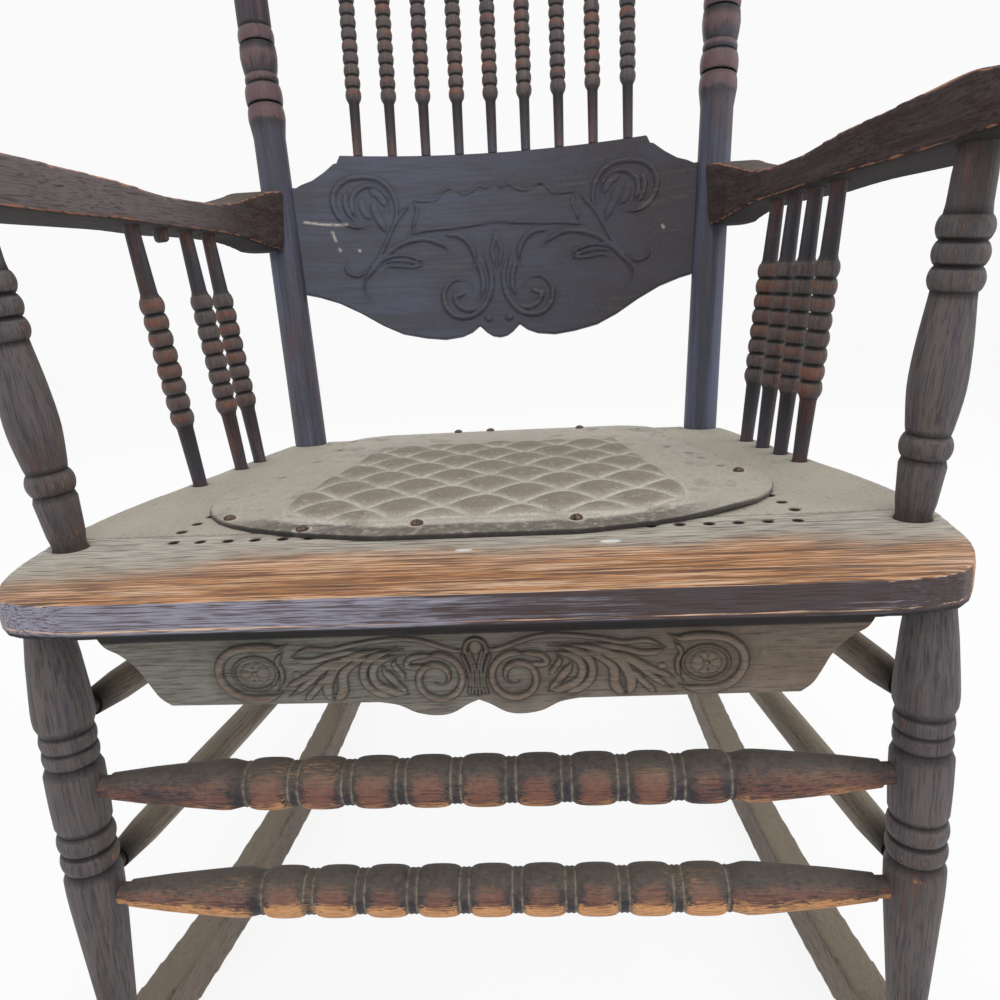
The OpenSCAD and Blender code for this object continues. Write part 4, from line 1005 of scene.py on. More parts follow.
def arm_post_profile(length, s):
    r = s.post / 2
    groove = r * GROOVE_SHARE
    return ([(ARM_POST_PIN, -PIN_DEPTH), (ARM_POST_PIN, ARM_POST_PIN_BARE)]
            + shaped(ARM_POST_FOOT_SHARES, r, 0, length)
            + placed_beads(ARM_POST_FOOT_BEAD, length, groove, r)
            + shaped(smooth(ARM_POST_VASE_SHARES, 4), r, 0, length)
            + placed_beads(ARM_POST_HEAD_BEADS, length, groove, r)
            + shaped(ARM_POST_NECK_SHARES, r, 0, length)
            + [(ARM_POST_PIN, length - ARM_POST_PIN_BARE), (ARM_POST_PIN, length + PIN_DEPTH)])


# Places that several pieces share.

def back_matrix():
    """The back leans: its pieces are drawn upright from the seat and tipped together."""
    s, seat = bpy.context.scene.rocker_back, bpy.context.scene.rocker_seat
    return Matrix.Translation((0, s.post_y, seat.top)) @ Matrix.Rotation(-s.lean, 4, "X")


def post_axis_x(z):
    s = bpy.context.scene.rocker_back
    return s.post_x + z * math.tan(s.spread)


def post_axis(sign):
    """The foot and the head of a back post."""
    length = bpy.context.scene.rocker_back.post_length
    return [back_matrix() @ Vector((sign * post_axis_x(z), 0, z)) for z in (0, length)]


def panel_half():
    s = bpy.context.scene.rocker_back
    return post_axis_x(lerp(s.panel_low, s.panel_top, PANEL_HALF_SHARE))


def crest_half():
    s = bpy.context.scene.rocker_back
    return post_axis_x(lerp(s.crest_low, s.crest_top, CREST_HALF_SHARE))


def runner_top(y):
    s = bpy.context.scene.rocker_base
    return s.runner_height + s.runner_radius - math.sqrt(s.runner_radius ** 2 - (y - s.runner_low) ** 2)


def leg_axis(end, side):
    """The foot's point on the runner's top and the point at the seat's underside."""
    s, seat = bpy.context.scene.rocker_base, bpy.context.scene.rocker_seat
    under = seat.top - seat.thickness
    if end == "front":
        return (Vector((side * s.front_foot_x, s.front_y, runner_top(s.front_y))),
                Vector((side * s.front_x, s.front_y, under)))
    return (Vector((side * s.rear_foot_x, s.rear_foot_y, runner_top(s.rear_foot_y))),
            Vector((side * s.rear_x, s.rear_y, under)))


def leg_at(end, side, drop):
    """The point of a leg's axis at a depth under the seat's top."""
    low, high = leg_axis(end, side)
    z = bpy.context.scene.rocker_seat.top - drop
    return low.lerp(high, (z - low.z) / (high.z - low.z))


def arm_spindle_ends(i, side):
    s, seat = bpy.context.scene.rocker_arm, bpy.context.scene.rocker_seat
    t = i / LAST_SPINDLE
    foot = [lerp(a, b, t) for a, b in zip(*ARM_FOOT_SHARES)]
    head = [lerp(a, b, t) for a, b in zip(*ARM_HEAD_SHARES)]
    return (Vector((side * foot[0] * seat.half_width, foot[1] * seat.depth, seat.top)),
            Vector((side * (s.inner + head[0] * s.width), head[1] * seat.depth, seat.top + s.height)))


# Operators, one for each piece or group of like pieces.

SENSOR = 36.0
CLIP = (0.01, 50.0)


class ROCKER_OT_camera(bpy.types.Operator):
    """Sets the camera at the photograph's viewing angle"""
    bl_idname = "rocker.camera"
    bl_label = "Camera"

    eye: bpy.props.FloatVectorProperty(
        name="Eye", description="Place of the camera", unit="LENGTH", size=3,
        default=(0.0447, -0.3627, 0.5304))
    yaw: turn("Yaw", "Turn of the view to the side", -3.716)
    pitch: turn("Pitch", "How far the view looks down", 15.180)
    roll: turn("Roll", "Roll of the camera", -3.191)
    lens: bpy.props.FloatProperty(
        name="Lens", description="Focal length on a 36 mm frame", default=28.57, unit="CAMERA")

    def execute(self, context):
        made = bpy.data.cameras.new("view")
        made.lens, made.sensor_width = self.lens, SENSOR
        made.clip_start, made.clip_end = CLIP
        obj = bpy.data.objects.new("view", made)
        context.scene.collection.objects.link(obj)
        cy, sy = math.cos(self.yaw), math.sin(self.yaw)
        cp, sp = math.cos(self.pitch), math.sin(self.pitch)
        ahead = Vector((sy * cp, cy * cp, -sp))
        right = Vector((cy, -sy, 0))
        up = right.cross(ahead)
        cr, sr = math.cos(self.roll), math.sin(self.roll)
        right, up = right * cr + up * sr, up * cr - right * sr
        turned_to = Matrix((right, up, -ahead)).transposed().to_4x4()
        obj.matrix_world = Matrix.Translation(self.eye) @ turned_to
        context.scene.camera = obj
        return {"FINISHED"}


WHITE = (1, 1, 1, 1)
FLOOR_DULL = 0.9
AIM_HEIGHT = 0.5
# Each lamp's place, the depth that it aims at, the power that it takes a part of, the part, its width.
LAMPS = {
    "key": ((0.5, -1.6, 2.3), 0.2, "key", 1.0, 2.2),
    "fill_left": ((-2.2, -0.6, 1.3), 0.2, "fill", 0.6, 1.6),
    "fill_right": ((2.2, 0.4, 1.4), 0.2, "fill", 1.5, 1.6),
    "back": ((-0.4, 2.4, 1.9), 0.3, "fill", 1.0, 1.6)}


def seen_directly(tree):
    """1 where the camera, a mirror or glass looks, 0 for the light on the pieces."""
    seen = node(tree, "ShaderNodeLightPath").outputs
    return calc(tree, "MAXIMUM", seen["Is Camera Ray"],
                calc(tree, "MAXIMUM", seen["Is Glossy Ray"], seen["Is Transmission Ray"]))


class ROCKER_OT_stage(bpy.types.Operator):
    """Lays the pale floor and hangs soft studio lights"""
    bl_idname = "rocker.stage"
    bl_label = "Floor and Lights"

    reach: size("Floor reach", "Half width of the floor", 6.0)
    glow: bpy.props.FloatProperty(name="Glow", description="Own white of the floor as seen", default=0.88)
    seen_sky: bpy.props.FloatProperty(name="Seen sky", description="White of the background", default=0.957)
    sky: bpy.props.FloatProperty(name="Sky", description="Strength of the even light", default=0.55)
    key: bpy.props.FloatProperty(name="Key", description="Power of the large lamp", default=30.0)
    fill: bpy.props.FloatProperty(name="Fill", description="Power of the side lamps", default=9.0)

    def execute(self, context):
        c = context.scene.rocker_colours
        bpy.ops.object.select_all(action="DESELECT")
        bpy.ops.mesh.primitive_plane_add(size=2 * self.reach, location=(0, 0, FLOOR_Z))
        floor = context.object
        floor.name = "studio_floor"
        made, tree, shader = new_material("pale_floor")
        shader.inputs["Base Color"].default_value = rgba(c.floor)
        shader.inputs["Roughness"].default_value = FLOOR_DULL
        white = node(tree, "ShaderNodeEmission", {"Color": WHITE, "Strength": 1.0})
        share = times(tree, seen_directly(tree), self.glow)
        mixed = node(tree, "ShaderNodeMixShader", {0: share, 1: shader.outputs[0], 2: white.outputs[0]})
        put(tree, tree.nodes["Material Output"].inputs[0], mixed.outputs[0])
        floor.data.materials.append(made)
        world = bpy.data.worlds.new("studio")
        context.scene.world = world
        world.use_nodes = True
        tree = world.node_tree
        back = tree.nodes["Background"].inputs
        put(tree, back["Strength"], fade(tree, seen_directly(tree), 0.0, 1.0, self.sky, self.seen_sky))
        back["Color"].default_value = WHITE
        for name, (spot, depth, kind, part, wide) in LAMPS.items():
            bpy.ops.object.light_add(type="AREA", location=spot)
            lamp = context.object
            lamp.name = name
            lamp.data.energy, lamp.data.size = part * getattr(self, kind), wide
            lamp.matrix_world = aimed(spot, Vector(spot) - Vector((0, depth, AIM_HEIGHT)))
        return {"FINISHED"}


CANE_PITCH = 0.0175
CANE_MARGIN = 0.014
CANE_HOLE = 0.006
FRONT_BOARD = 0.115
BACK_BOARD = 0.042
OPENING_FRONT = 0.185
OPENING_BACK = 0.136


def cane_holes(s):
    """The middles of the cane holes round the seat's opening."""
    back = s.depth - BACK_BOARD
    holes = []
    across = int((OPENING_FRONT + CANE_MARGIN) / CANE_PITCH)
    for i in range(-across, across + 1):
        holes.append((i * CANE_PITCH, FRONT_BOARD - CANE_MARGIN))
        holes.append((i * CANE_PITCH, back + CANE_MARGIN))
    for i in range(int((back - FRONT_BOARD) / CANE_PITCH)):
        y = FRONT_BOARD + (i + 0.5) * CANE_PITCH
        x = lerp(OPENING_FRONT, OPENING_BACK, (y - FRONT_BOARD) / (back - FRONT_BOARD)) + CANE_MARGIN
        holes += [(x, y), (-x, y)]
    return holes


HOLE_RIM_SHARES = (0.72, 0.52)
HOLE_DARK = (0.0004, -0.0008)


def in_holes(here, s):
    """Painted shade inside the cane holes: 1 under their rims, 0 elsewhere."""
    away = from_spots(here[:, 0], here[:, 1], cane_holes(s))
    inside = smooth_step(*[CANE_HOLE * share for share in HOLE_RIM_SHARES], away)
    return inside * smooth_step(*HOLE_DARK, here[:, 2] - s.top)


WORN_BAND = (0.104, 0.027)
BAND_WAVE = (0.006, 21, 0.7)
BAND_RIPPLE = (0.003, 64)
BAND_SLANT = 0.012
PAINT_SPOTS = [(-0.0055, 0.066, 0.005, 0.002), (0.0785, 0.073, 0.006, 0.003)]
FACE_DEPTH = 0.02
FACE_FACING = (0.35, 0.8)
ARRIS_OF_FACE = (0.3, 0.55)
# The face runs from blue grey on the left to plum on the right: partly the stain, partly painted light, lit
# on the left and shaded on the right.
FACE_PLUM_FROM, FACE_PLUM_TO = -0.16, 0.12
# Below LOW_ARRIS the front face is painted black as a shadow along its lower arris; LOW_LINE is a worn line
# just above it.
LOW_ARRIS = 0.0036
LOW_LINE = 0.0050
LOW_LINE_WIDTH = 0.0009


def worn_band(x, y):
    """How far the front board's top is worn bare, from 0 behind to 1 at the edge."""
    wander = wave(x, *BAND_WAVE) + wave(x, *BAND_RIPPLE) + BAND_SLANT * smooth_step(0.0, -0.26, x)
    return smooth_step(*WORN_BAND, y + wander) * (1 - 0.35 * smooth_step(0.12, 0.30, np.abs(x)))


def paint_spots(here, s):
    """Spots of white paint on the front board's top."""
    away = np.min([np.hypot((here[:, 0] - x) / wide, (here[:, 1] - y) / deep)
                   for x, y, wide, deep in PAINT_SPOTS], axis=0)
    return smooth_step(1.15, 0.85, away) * (here[:, 2] > s.top - 0.001)


class ROCKER_OT_seat_boards(bpy.types.Operator):
    """Makes the four seat boards with worn arrises"""
    bl_idname = "rocker.seat_boards"
    bl_label = "Seat Boards"

    front_wear: size("Front wear", "How far the front board's arrises are worn off", 0.0012)
    wear: size("Wear", "How far the other boards' arrises are worn off", 0.0010)

    def execute(self, context):
        s = context.scene.rocker_seat
        obj = softened("seat_front_board", s.board_voxel, 3, self.front_wear, (1, 2, 0))
        here, facing = coords(obj), normals(obj)
        x, y, up = here[:, 0], here[:, 1], here[:, 2] - s.top + s.thickness
        front = smooth_step(*FACE_FACING, -facing[:, 1]) * (y < FACE_DEPTH)
        arris = smooth_step(*ARRIS_OF_FACE, np.minimum(np.abs(facing[:, 2]), -facing[:, 1]))
        arris = arris * (up > LOW_ARRIS) * (y < FACE_DEPTH)
        mark(obj, raised=np.maximum(bell(up, LOW_LINE, LOW_LINE_WIDTH) * front, arris),
             recess=np.maximum(in_holes(here, s), smooth_step(LOW_ARRIS, LOW_ARRIS * 0.6, up)),
             rubbed=worn_band(x, y), dust=paint_spots(here, s), front=front,
             tint=smooth_step(FACE_PLUM_FROM, FACE_PLUM_TO, x))
        finished(obj, material("worn_seat_oak", worn_seat_wood), "oak_worn", "seat_front_board")
        for name, order in (("seat_back_board", (1, 2, 0)), ("seat_left_board", (0, 2, 1)),
                            ("seat_right_board", (0, 2, 1))):
            obj = softened(name, s.board_voxel, 3, self.wear, order)
            mark(obj, recess=in_holes(coords(obj), s))
            finished(obj, dusty_oak(), "oak_dusty", name)
        return {"FINISHED"}


def panel_edge():
    s = bpy.context.scene.rocker_seat
    return smooth([(x * s.panel_half, y * s.panel_depth) for x, y in PANEL_EDGE_SHARES], 2)


def grid_piece(name, columns, rows):
    """A flat grid of quads, and the column and row share of each of its vertices."""
    bpy.ops.object.select_all(action="DESELECT")
    bpy.ops.mesh.primitive_grid_add(x_subdivisions=columns, y_subdivisions=rows, size=1)
    obj = bpy.context.object
    obj.name = name
    here = coords(obj)
    return obj, here[:, 0] + 0.5, here[:, 1] + 0.5


FIELD_FRONT = 0.075
FIELD_BACK = 0.77
FIELD_WIDE = 0.73
FIELD_ROUND = 0.2
FIELD_NARROW = 0.53
FIELD_FADE = 0.04
TUFT_SHARE = 0.6
TUFT_WANDER = 0.0018


def wandered(x, y):
    """The tufts' rows wander a little."""
    return x + wave(y, TUFT_WANDER, 38, 1), y + wave(x, TUFT_WANDER, 31, 2)


def seat_panel_height(x, y, u, v, s):
    """The panel's top over its underside, how far a place is in the tufted field, and its tuft."""
    deep = y / s.panel_depth
    narrowing = np.clip((deep - FIELD_FRONT) / (FIELD_BACK - FIELD_FRONT), 0, 1)
    from_front = deep - FIELD_FRONT
    from_side = lerp(FIELD_WIDE, FIELD_NARROW, narrowing) - np.abs(x) / s.panel_half
    corner = FIELD_ROUND - np.hypot(np.maximum(FIELD_ROUND - from_front, 0),
                                    np.maximum(FIELD_ROUND - from_side, 0))
    field = np.clip(np.minimum(corner, FIELD_BACK - deep) / FIELD_FADE, 0, 1)
    wx, wy = wandered(x, y)
    one_way, other_way = [np.cos(np.pi * way / s.tuft_pitch) for way in (wx + wy, wx - wy)]
    tuft = np.abs(one_way * other_way) ** TUFT_SHARE
    crown = np.sin(np.pi * np.clip(v, 0, 1)) * (1 - u * u)
    return s.panel_rim + s.panel_crown * crown + s.tuft_height * tuft * field, field, tuft


LOST_TACKS = [(-0.171, 0.254), (-0.158, 0.310), (-0.150, 0.359), (-0.147, 0.401), (0.175, 0.234),
    (0.166, 0.264), (0.160, 0.284), (0.146, 0.311), (0.133, 0.404)]
LIFTED = (0.165, 0.120)
LIFTED_REACH = (0.032, 0.030)
SEAM_WIDTH = 0.0016
SEAM_BORDER = (0.12, 0.10)
RIM_DEPTH = 0.0022
RIM_DROP = 0.0016
# A painted shadow line runs round the panel's outline; the lost tacks' holes are painted dark as shade.
RIM_DARK = (0.0015, 0.0003)
TACK_HOLE = (0.0042, 0.0022)
TACK_HOLE_DEPTH = 0.0022
TACK_RING_SHARE = 0.68
TACK_RING_WIDTH = 0.0011
PANEL_GRID = (300, 240)
PANEL_EDGE = 0.0014
FRINGE = (0.019, 0.004)
FRINGE_ENDS = (0.16, 0.11)
FRINGE_DEPTH = 0.05
FRONT_RIM_WIDTH = (0.020, 0.013)
FRONT_RIM_WAVE = (0.002, 90)
FRONT_RIM_ENDS = (0.175, 0.120)
FRONT_RIM_MIDDLE = -0.012
FRONT_RIM_DEPTH = (0.050, 0.036)


def nearest(x, z, line):
    """How far places lie from a line, and how far along it, from 0 to 1."""
    points = np.array(line)
    steps = np.hypot(*(points[1:] - points[:-1]).T)
    reach = np.concatenate([[0], np.cumsum(steps)]) / steps.sum()
    away, along = np.full(len(x), np.inf), np.zeros(len(x))
    for (ax, az), (bx, bz), start, end, step in zip(points, points[1:], reach, reach[1:], steps):
        t = np.clip(((x - ax) * (bx - ax) + (z - az) * (bz - az)) / max(step * step, 1e-12), 0, 1)
        d = np.hypot(x - ax - t * (bx - ax), z - az - t * (bz - az))
        closer = d < away
        away[closer], along[closer] = d[closer], lerp(start, end, t)[closer]
    return away, along


def seam_lines(x, y, s):
    """1 on the seams between the tufts, 0 away from them."""
    x, y = wandered(x, y)
    away = np.minimum(*[np.abs((way / s.tuft_pitch) % 1 - 0.5) for way in (x + y, x - y)])
    return bell(away * s.tuft_pitch / math.sqrt(2), 0, SEAM_WIDTH)


def smooth_front(x, y, rim):
    """1 on the dark rim along the panel's front, whose inner edge wanders."""
    along = smooth_step(*FRONT_RIM_WIDTH, rim + wave(x, *FRONT_RIM_WAVE))
    ends = smooth_step(*FRONT_RIM_ENDS, np.abs(x - FRONT_RIM_MIDDLE))
    return along * ends * smooth_step(*FRONT_RIM_DEPTH, y)


class ROCKER_OT_seat_panel(bpy.types.Operator):
    """Makes the embossed seat panel with its diamond tufts"""
    bl_idname = "rocker.seat_panel"
    bl_label = "Embossed Panel"

    lift: size("Lift", "How far the panel lies over the seat", 0.0003)
    curl: size("Curl", "How far the panel's loose corner stands up", 0.0022)

    def execute(self, context):
        s = context.scene.rocker_seat
        edge = np.array(panel_edge())
        obj, i, j = grid_piece("seat_panel_embossed", *PANEL_GRID)
        rows = np.linspace(0, 1, len(edge))
        u = 2 * i - 1
        x, y = u * np.interp(j, rows, edge[:, 0]), np.interp(j, rows, edge[:, 1])
        top, field, tuft = seat_panel_height(x, y, u, j, s)
        rim, _ = nearest(np.abs(x), y, [(0, edge[0, 1]), *edge, (0, edge[-1, 1])])
        place_y = s.panel_front + y
        holes = smooth_step(*TACK_HOLE, from_spots(x, place_y, LOST_TACKS))
        loose = bell(x, LIFTED[0], LIFTED_REACH[0]) * bell(place_y, LIFTED[1], LIFTED_REACH[1])
        top -= RIM_DROP * rounded(rim, RIM_DEPTH) + TACK_HOLE_DEPTH * holes
        set_coords(obj, np.column_stack([x, place_y, s.top + self.lift + top + self.curl * loose]))
        seams = seam_lines(x, y, s) * field
        fringe = bell(rim, *FRINGE) * smooth_step(*FRINGE_ENDS, np.abs(x)) * (y < FRINGE_DEPTH)
        tacks = [(share * s.panel_half, edge[row][1]) for row, share in TACK_SHARES]
        ring = bell(from_spots(x, y, tacks), s.tack * TACK_RING_SHARE, TACK_RING_WIDTH)
        pale = np.maximum.reduce([seams, 0.8 * bell(field, *SEAM_BORDER), 0.8 * fringe, ring])
        # Tufts are painted darker, partly as shade on the domes; seams are pale with dust.
        mark(obj, tuft=np.clip(1.5 * tuft * field - seams, 0, 1), seam=np.clip(pale, 0, 1),
             rim=smooth_front(x, y, rim), recess=np.maximum(holes, smooth_step(*RIM_DARK, rim)))
        edit_all(obj)
        bpy.ops.mesh.select_all(action="DESELECT")
        bpy.ops.mesh.select_mode(type="EDGE")
        bpy.ops.mesh.select_non_manifold()
        bpy.ops.mesh.extrude_region_move(
            TRANSFORM_OT_translate={"value": (0, 0, PANEL_EDGE - s.panel_rim)})
        bpy.ops.mesh.edge_face_add()
        bpy.ops.mesh.select_mode(type="VERT")
        bpy.ops.object.mode_set(mode="OBJECT")
        closed(obj, TURNED_ANGLE)
        finished(obj, material("embossed_fibre", embossed_board), "fibre_panel", "seat_panel")
        return {"FINISHED"}


class ROCKER_OT_panel_tacks(bpy.types.Operator):
    """Gives the tacks on the embossed panel their rust"""
    bl_idname = "rocker.panel_tacks"
    bl_label = "Tacks"

    def execute(self, context):
        c = context.scene.rocker_colours
        rust = material("rusty_iron", plain_solid, c.rust, c.black, 0.75, 0.3, 600.0)
        show_node("panel_tacks", rust)
        return {"FINISHED"}


def show_node(name, look):
    """Gives a node that stays as it was built its material."""
    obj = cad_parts[name]
    obj.data.materials.clear()
    obj.data.materials.append(look)


def scaled(shares, width, height):
    return [(x * width, z * height) for x, z in shares]


# Carving. Its strokes are lines through points, as shares of a board's half width and height.

# The strokes' feet, the ground near them and the cuts are painted dark as shade.
FOOT_LINE = 0.0007
GROUND_REACH = 0.0045
GROUND_SHADE = 0.34
STROKE_STEPS = 6
SPIRAL_STEPS = 40
THINNEST = 0.0003


class Carving:
    """Relief that is raised and cut stroke by stroke, with painted shade in its hollows and at the feet of
    its strokes. A board's two halves are alike.
    """

    def __init__(self, x, z, half, start, height):
        self.x, self.z = np.abs(x), z
        self.half, self.start, self.height = half, start, height
        self.relief, self.recess = np.zeros(len(x)), np.zeros(len(x))
        self.shade, self.scratches = np.zeros(len(x)), np.zeros(len(x))

    def spot(self, share_x, share_z):
        return share_x * self.half, self.start + share_z * self.height

    def around(self, line, reach):
        """The places within reach of a line, their distance from it and their place along it."""
        (low_x, low_z), (high_x, high_z) = np.min(line, axis=0), np.max(line, axis=0)
        where = np.flatnonzero((self.x > low_x - reach) & (self.x < high_x + reach)
                               & (self.z > low_z - reach) & (self.z < high_z + reach))
        return where, *nearest(self.x[where], self.z[where], line)

    # Lays painted shade: each place keeps the darkest value.
    def darken(self, where, values):
        self.recess[where] = np.maximum(self.recess[where], values)

    def ridge(self, shares, width, rise, thin_start=0.15, thin_end=0.35):
        """A rounded ridge that thins out to its ends, with a painted shadow line along its foot and painted
        shade on the ground beside it.
        """
        line = smooth([self.spot(*share) for share in shares], STROKE_STEPS)
        where, away, along = self.around(line, width + 2 * GROUND_REACH)
        thinned = np.minimum(smooth_step(-0.02, thin_start, along), smooth_step(1.02, 1 - thin_end, along))
        half = np.maximum(width / 2 * thinned, THINNEST)
        top = rise * np.sqrt(np.clip(1 - (away / half) ** 2, 0, 1)) * np.clip(half / (0.3 * width), 0.3, 1)
        foot = bell(away, half, FOOT_LINE)
        ground = GROUND_SHADE * bell(np.maximum(away - half, 0), 0, GROUND_REACH)
        covered = self.relief[where]
        self.recess[where] = np.where(away < half, self.recess[where] * 0.2, self.recess[where])
        self.darken(where, foot * smooth_step(rise, rise * 0.4, covered))
        self.darken(where, ground * (away > half) * (covered <= 0))
        self.relief[where] = np.maximum(covered, top) - 0.25 * rise * foot * (covered <= 0)

    def ridges(self, rows, rise):
        """All the ridges of a table: each row has strokes, a width, a share of rise and how they thin."""
        for strokes, width, share, *thin in rows:
            for stroke in strokes:
                self.ridge(stroke, width, share * rise, *thin)

    def groove(self, shares, width, depth):
        """A cut line, painted dark as shade."""
        line = smooth([self.spot(*share) for share in shares], STROKE_STEPS)
        where, away, _ = self.around(line, 3 * width)
        cut = bell(away, 0, width / 2)
        self.relief[where] -= depth * cut
        self.darken(where, cut)

    def spiral(self, middle, outer, inner, start, turns, width, rise, power=1.5):
        """A volute that winds in from the outer radius to the inner one."""
        x, z = self.spot(*middle)
        line = []
        for k in range(SPIRAL_STEPS + 1):
            t = k / SPIRAL_STEPS
            radius = lerp(outer, inner, t ** power)
            angle = math.radians(start) + math.tau * turns * t
            line.append(((x + radius * math.cos(angle)) / self.half,
                         (z + radius * math.sin(angle) - self.start) / self.height))
        self.ridge(line, width, rise, 0.05, 0.2)

    def dome(self, middle, wide, high, rise):
        """A round knob, with a painted shadow ring round it."""
        x, z = self.spot(*middle)
        away = np.hypot((self.x - x) / wide, (self.z - z) / high)
        self.relief = np.maximum(self.relief, rise * np.sqrt(np.clip(1 - away ** 2, 0, 1)))
        self.recess = np.where(away < 0.9, 0, self.recess)
        self.recess = np.maximum(self.recess, bell(away, 1.05, 0.14))

    def rosette(self, middle, petals, reach, rise):
        """A flower with a round eye, with painted shade between its petals and round its edge."""
        x, z = self.spot(*middle)
        away = np.hypot(self.x - x, (self.z - z) / 0.85) / reach
        angle = np.arctan2(self.z - z, self.x - x)
        lobe = np.abs(np.cos(petals * angle / 2)) ** 0.5
        petal = lobe * np.sin(np.pi * np.clip((away - 0.2) / 0.8, 0, 1)) ** 0.6
        self.relief = np.maximum(self.relief, rise * petal)
        gap = smooth_step(0.5, 0.15, lobe) * (away > 0.25) * (away < 0.95)
        self.recess = np.maximum.reduce([self.recess, gap * 0.8, bell(away, 1.0, 0.07) * 0.7])
        self.dome(middle, reach * 0.19, reach * 0.17, rise * 1.1)

    def plateau(self, inside, rise):
        """A raised flat, where inside goes from 0 to 1, with painted shade along its slope."""
        self.relief = np.maximum(self.relief, rise * inside)
        self.recess = np.maximum(self.recess, np.clip(4 * inside * (1 - inside), 0, 1) * 0.6)


ARRIS_ROWS = (0, 0.0025, 0.006, 0.011)
ARRIS_END = 0.017
ARRIS = 0.0014
BACK_ROWS = 3
SAWN_WEAR = 0.0008


def carved_board(name, columns, rows, half, low, high, thickness, sunk, cut, warm, dark):
    """A board between two outlines, carved on its front: cut gives the Carving at x and z."""
    obj, i, j = grid_piece(name, columns, rows + BACK_ROWS)
    flat = np.linspace(ARRIS_END, 1 - ARRIS_END, rows + 1 - 2 * len(ARRIS_ROWS))
    face_rows = np.concatenate([ARRIS_ROWS, flat, 1 - np.array(ARRIS_ROWS[::-1])])
    row = np.rint(j * (rows + BACK_ROWS)).astype(int)
    up = np.concatenate([face_rows, [1, 0, 0]])[row]
    behind = np.concatenate([np.zeros(rows + 1), [1, 1, 0]])[row]
    x = (2 * i - 1) * half
    bottom, top = [np.interp(np.abs(x), *np.transpose(line)) for line in (low, high)]
    z = lerp(bottom, top, up)
    carving = cut(x, z)
    rim = np.minimum(z - bottom, top - z)
    inward = smooth_step(0, 2 * ARRIS, rim)
    carving.relief *= inward
    face = sunk - thickness / 2 - carving.relief + ARRIS * rounded(rim, ARRIS)
    set_coords(obj, np.column_stack([x, np.where(behind > 0, thickness / 2, face), z]))
    front = 1 - behind
    # Crests are lighter, partly from rub wear and partly as a painted highlight; hollows get painted shade.
    high_up = np.clip(carving.relief / sunk, 0, 1) * front
    dark_places = np.maximum(carving.recess * dark * inward, carving.shade)
    mark(obj, recess=np.clip(dark_places, 0, 1) * front, raised=high_up * 0.5, rubbed=high_up * warm,
         dust=carving.scratches * front, tint=smooth_step(-half * 0.5, half * 0.9, x),
         grain=np.column_stack([z, behind * thickness, x]) + grain_shift(name))
    closed(obj, CARVED_ANGLE)
    return obj


# The apron's carving: a flower in a rolled frame at each end, leaves, a volute and a fan.
FRAME_STROKE = [(0.486, 0.39), (0.512, 0.43), (0.545, 0.42), (0.590, 0.42), (0.632, 0.45), (0.664, 0.54),
    (0.675, 0.67), (0.663, 0.80), (0.632, 0.90), (0.590, 0.94), (0.545, 0.93), (0.512, 0.88)]
FRAME_INNER_STROKE = [(0.500, 0.47), (0.517, 0.56), (0.508, 0.65), (0.510, 0.76), (0.524, 0.86)]
LEAF_TOP_STROKE = [(0.479, 0.52), (0.433, 0.45), (0.373, 0.46), (0.319, 0.42), (0.254, 0.385), (0.189, 0.37),
    (0.134, 0.40), (0.072, 0.48), (0.039, 0.50), (0.021, 0.44)]
LEAF_EAR_STROKE = [(0.478, 0.52), (0.455, 0.56), (0.420, 0.565), (0.384, 0.53), (0.335, 0.49), (0.28, 0.45)]
STEM_STROKES = [
    [(0.497, 0.92), (0.468, 0.86), (0.435, 0.77), (0.400, 0.66), (0.344, 0.56), (0.278, 0.49),
     (0.200, 0.45)],
    [(0.502, 0.82), (0.451, 0.74), (0.413, 0.66), (0.370, 0.58), (0.320, 0.53)],
    [(0.455, 0.96), (0.430, 0.88), (0.405, 0.78), (0.380, 0.69)]]
FROND_STROKES = [
    [(0.381, 0.99), (0.392, 0.88), (0.386, 0.76), (0.366, 0.65), (0.332, 0.57), (0.275, 0.505)],
    [(0.379, 0.99), (0.352, 0.88), (0.350, 0.76), (0.343, 0.67), (0.312, 0.58), (0.255, 0.52)]]
CURL_STROKES = [
    [(0.215, 0.95), (0.262, 0.90), (0.291, 0.80), (0.293, 0.66), (0.271, 0.56), (0.232, 0.50),
     (0.185, 0.47)],
    [(0.182, 0.93), (0.223, 0.89), (0.258, 0.82), (0.270, 0.72), (0.258, 0.61), (0.222, 0.55),
     (0.18, 0.53)],
    [(0.181, 0.92), (0.203, 0.85), (0.220, 0.76), (0.238, 0.68), (0.240, 0.60)]]
TONGUE_STROKES = [
    [(0.134, 0.62), (0.157, 0.655), (0.180, 0.635), (0.168, 0.565), (0.133, 0.54), (0.095, 0.53)],
    [(0.186, 0.76), (0.200, 0.69), (0.212, 0.62), (0.205, 0.56)]]
VEIN_STROKES = [[(0.245, 0.73), (0.226, 0.80), (0.205, 0.84)], [(0.235, 0.79), (0.215, 0.85),
     (0.197, 0.88)],
    [(0.371, 0.90), (0.369, 0.78), (0.353, 0.66), (0.318, 0.57)]]
FAN_STROKES = [[(0.0265, 0.50), (0.013, 0.65), (0.0105, 0.80), (0.015, 0.94)],
    [(0.0175, 0.50), (0.0045, 0.66), (0.0030, 0.80), (0.0045, 0.95)],
    [(0.037, 0.54), (0.0225, 0.68), (0.0185, 0.81), (0.0245, 0.94)]]
CROWN_STROKE = [(0.029, 0.53), (0.024, 0.44), (0.014, 0.40), (0.0, 0.385)]
ROSETTE_SPOT = (0.579, 0.68)
VOLUTE_SPOT = (0.102, 0.775)
BUD_SPOT = (0.470, 0.70)
EYE_SPOT = (0.0, 0.47)
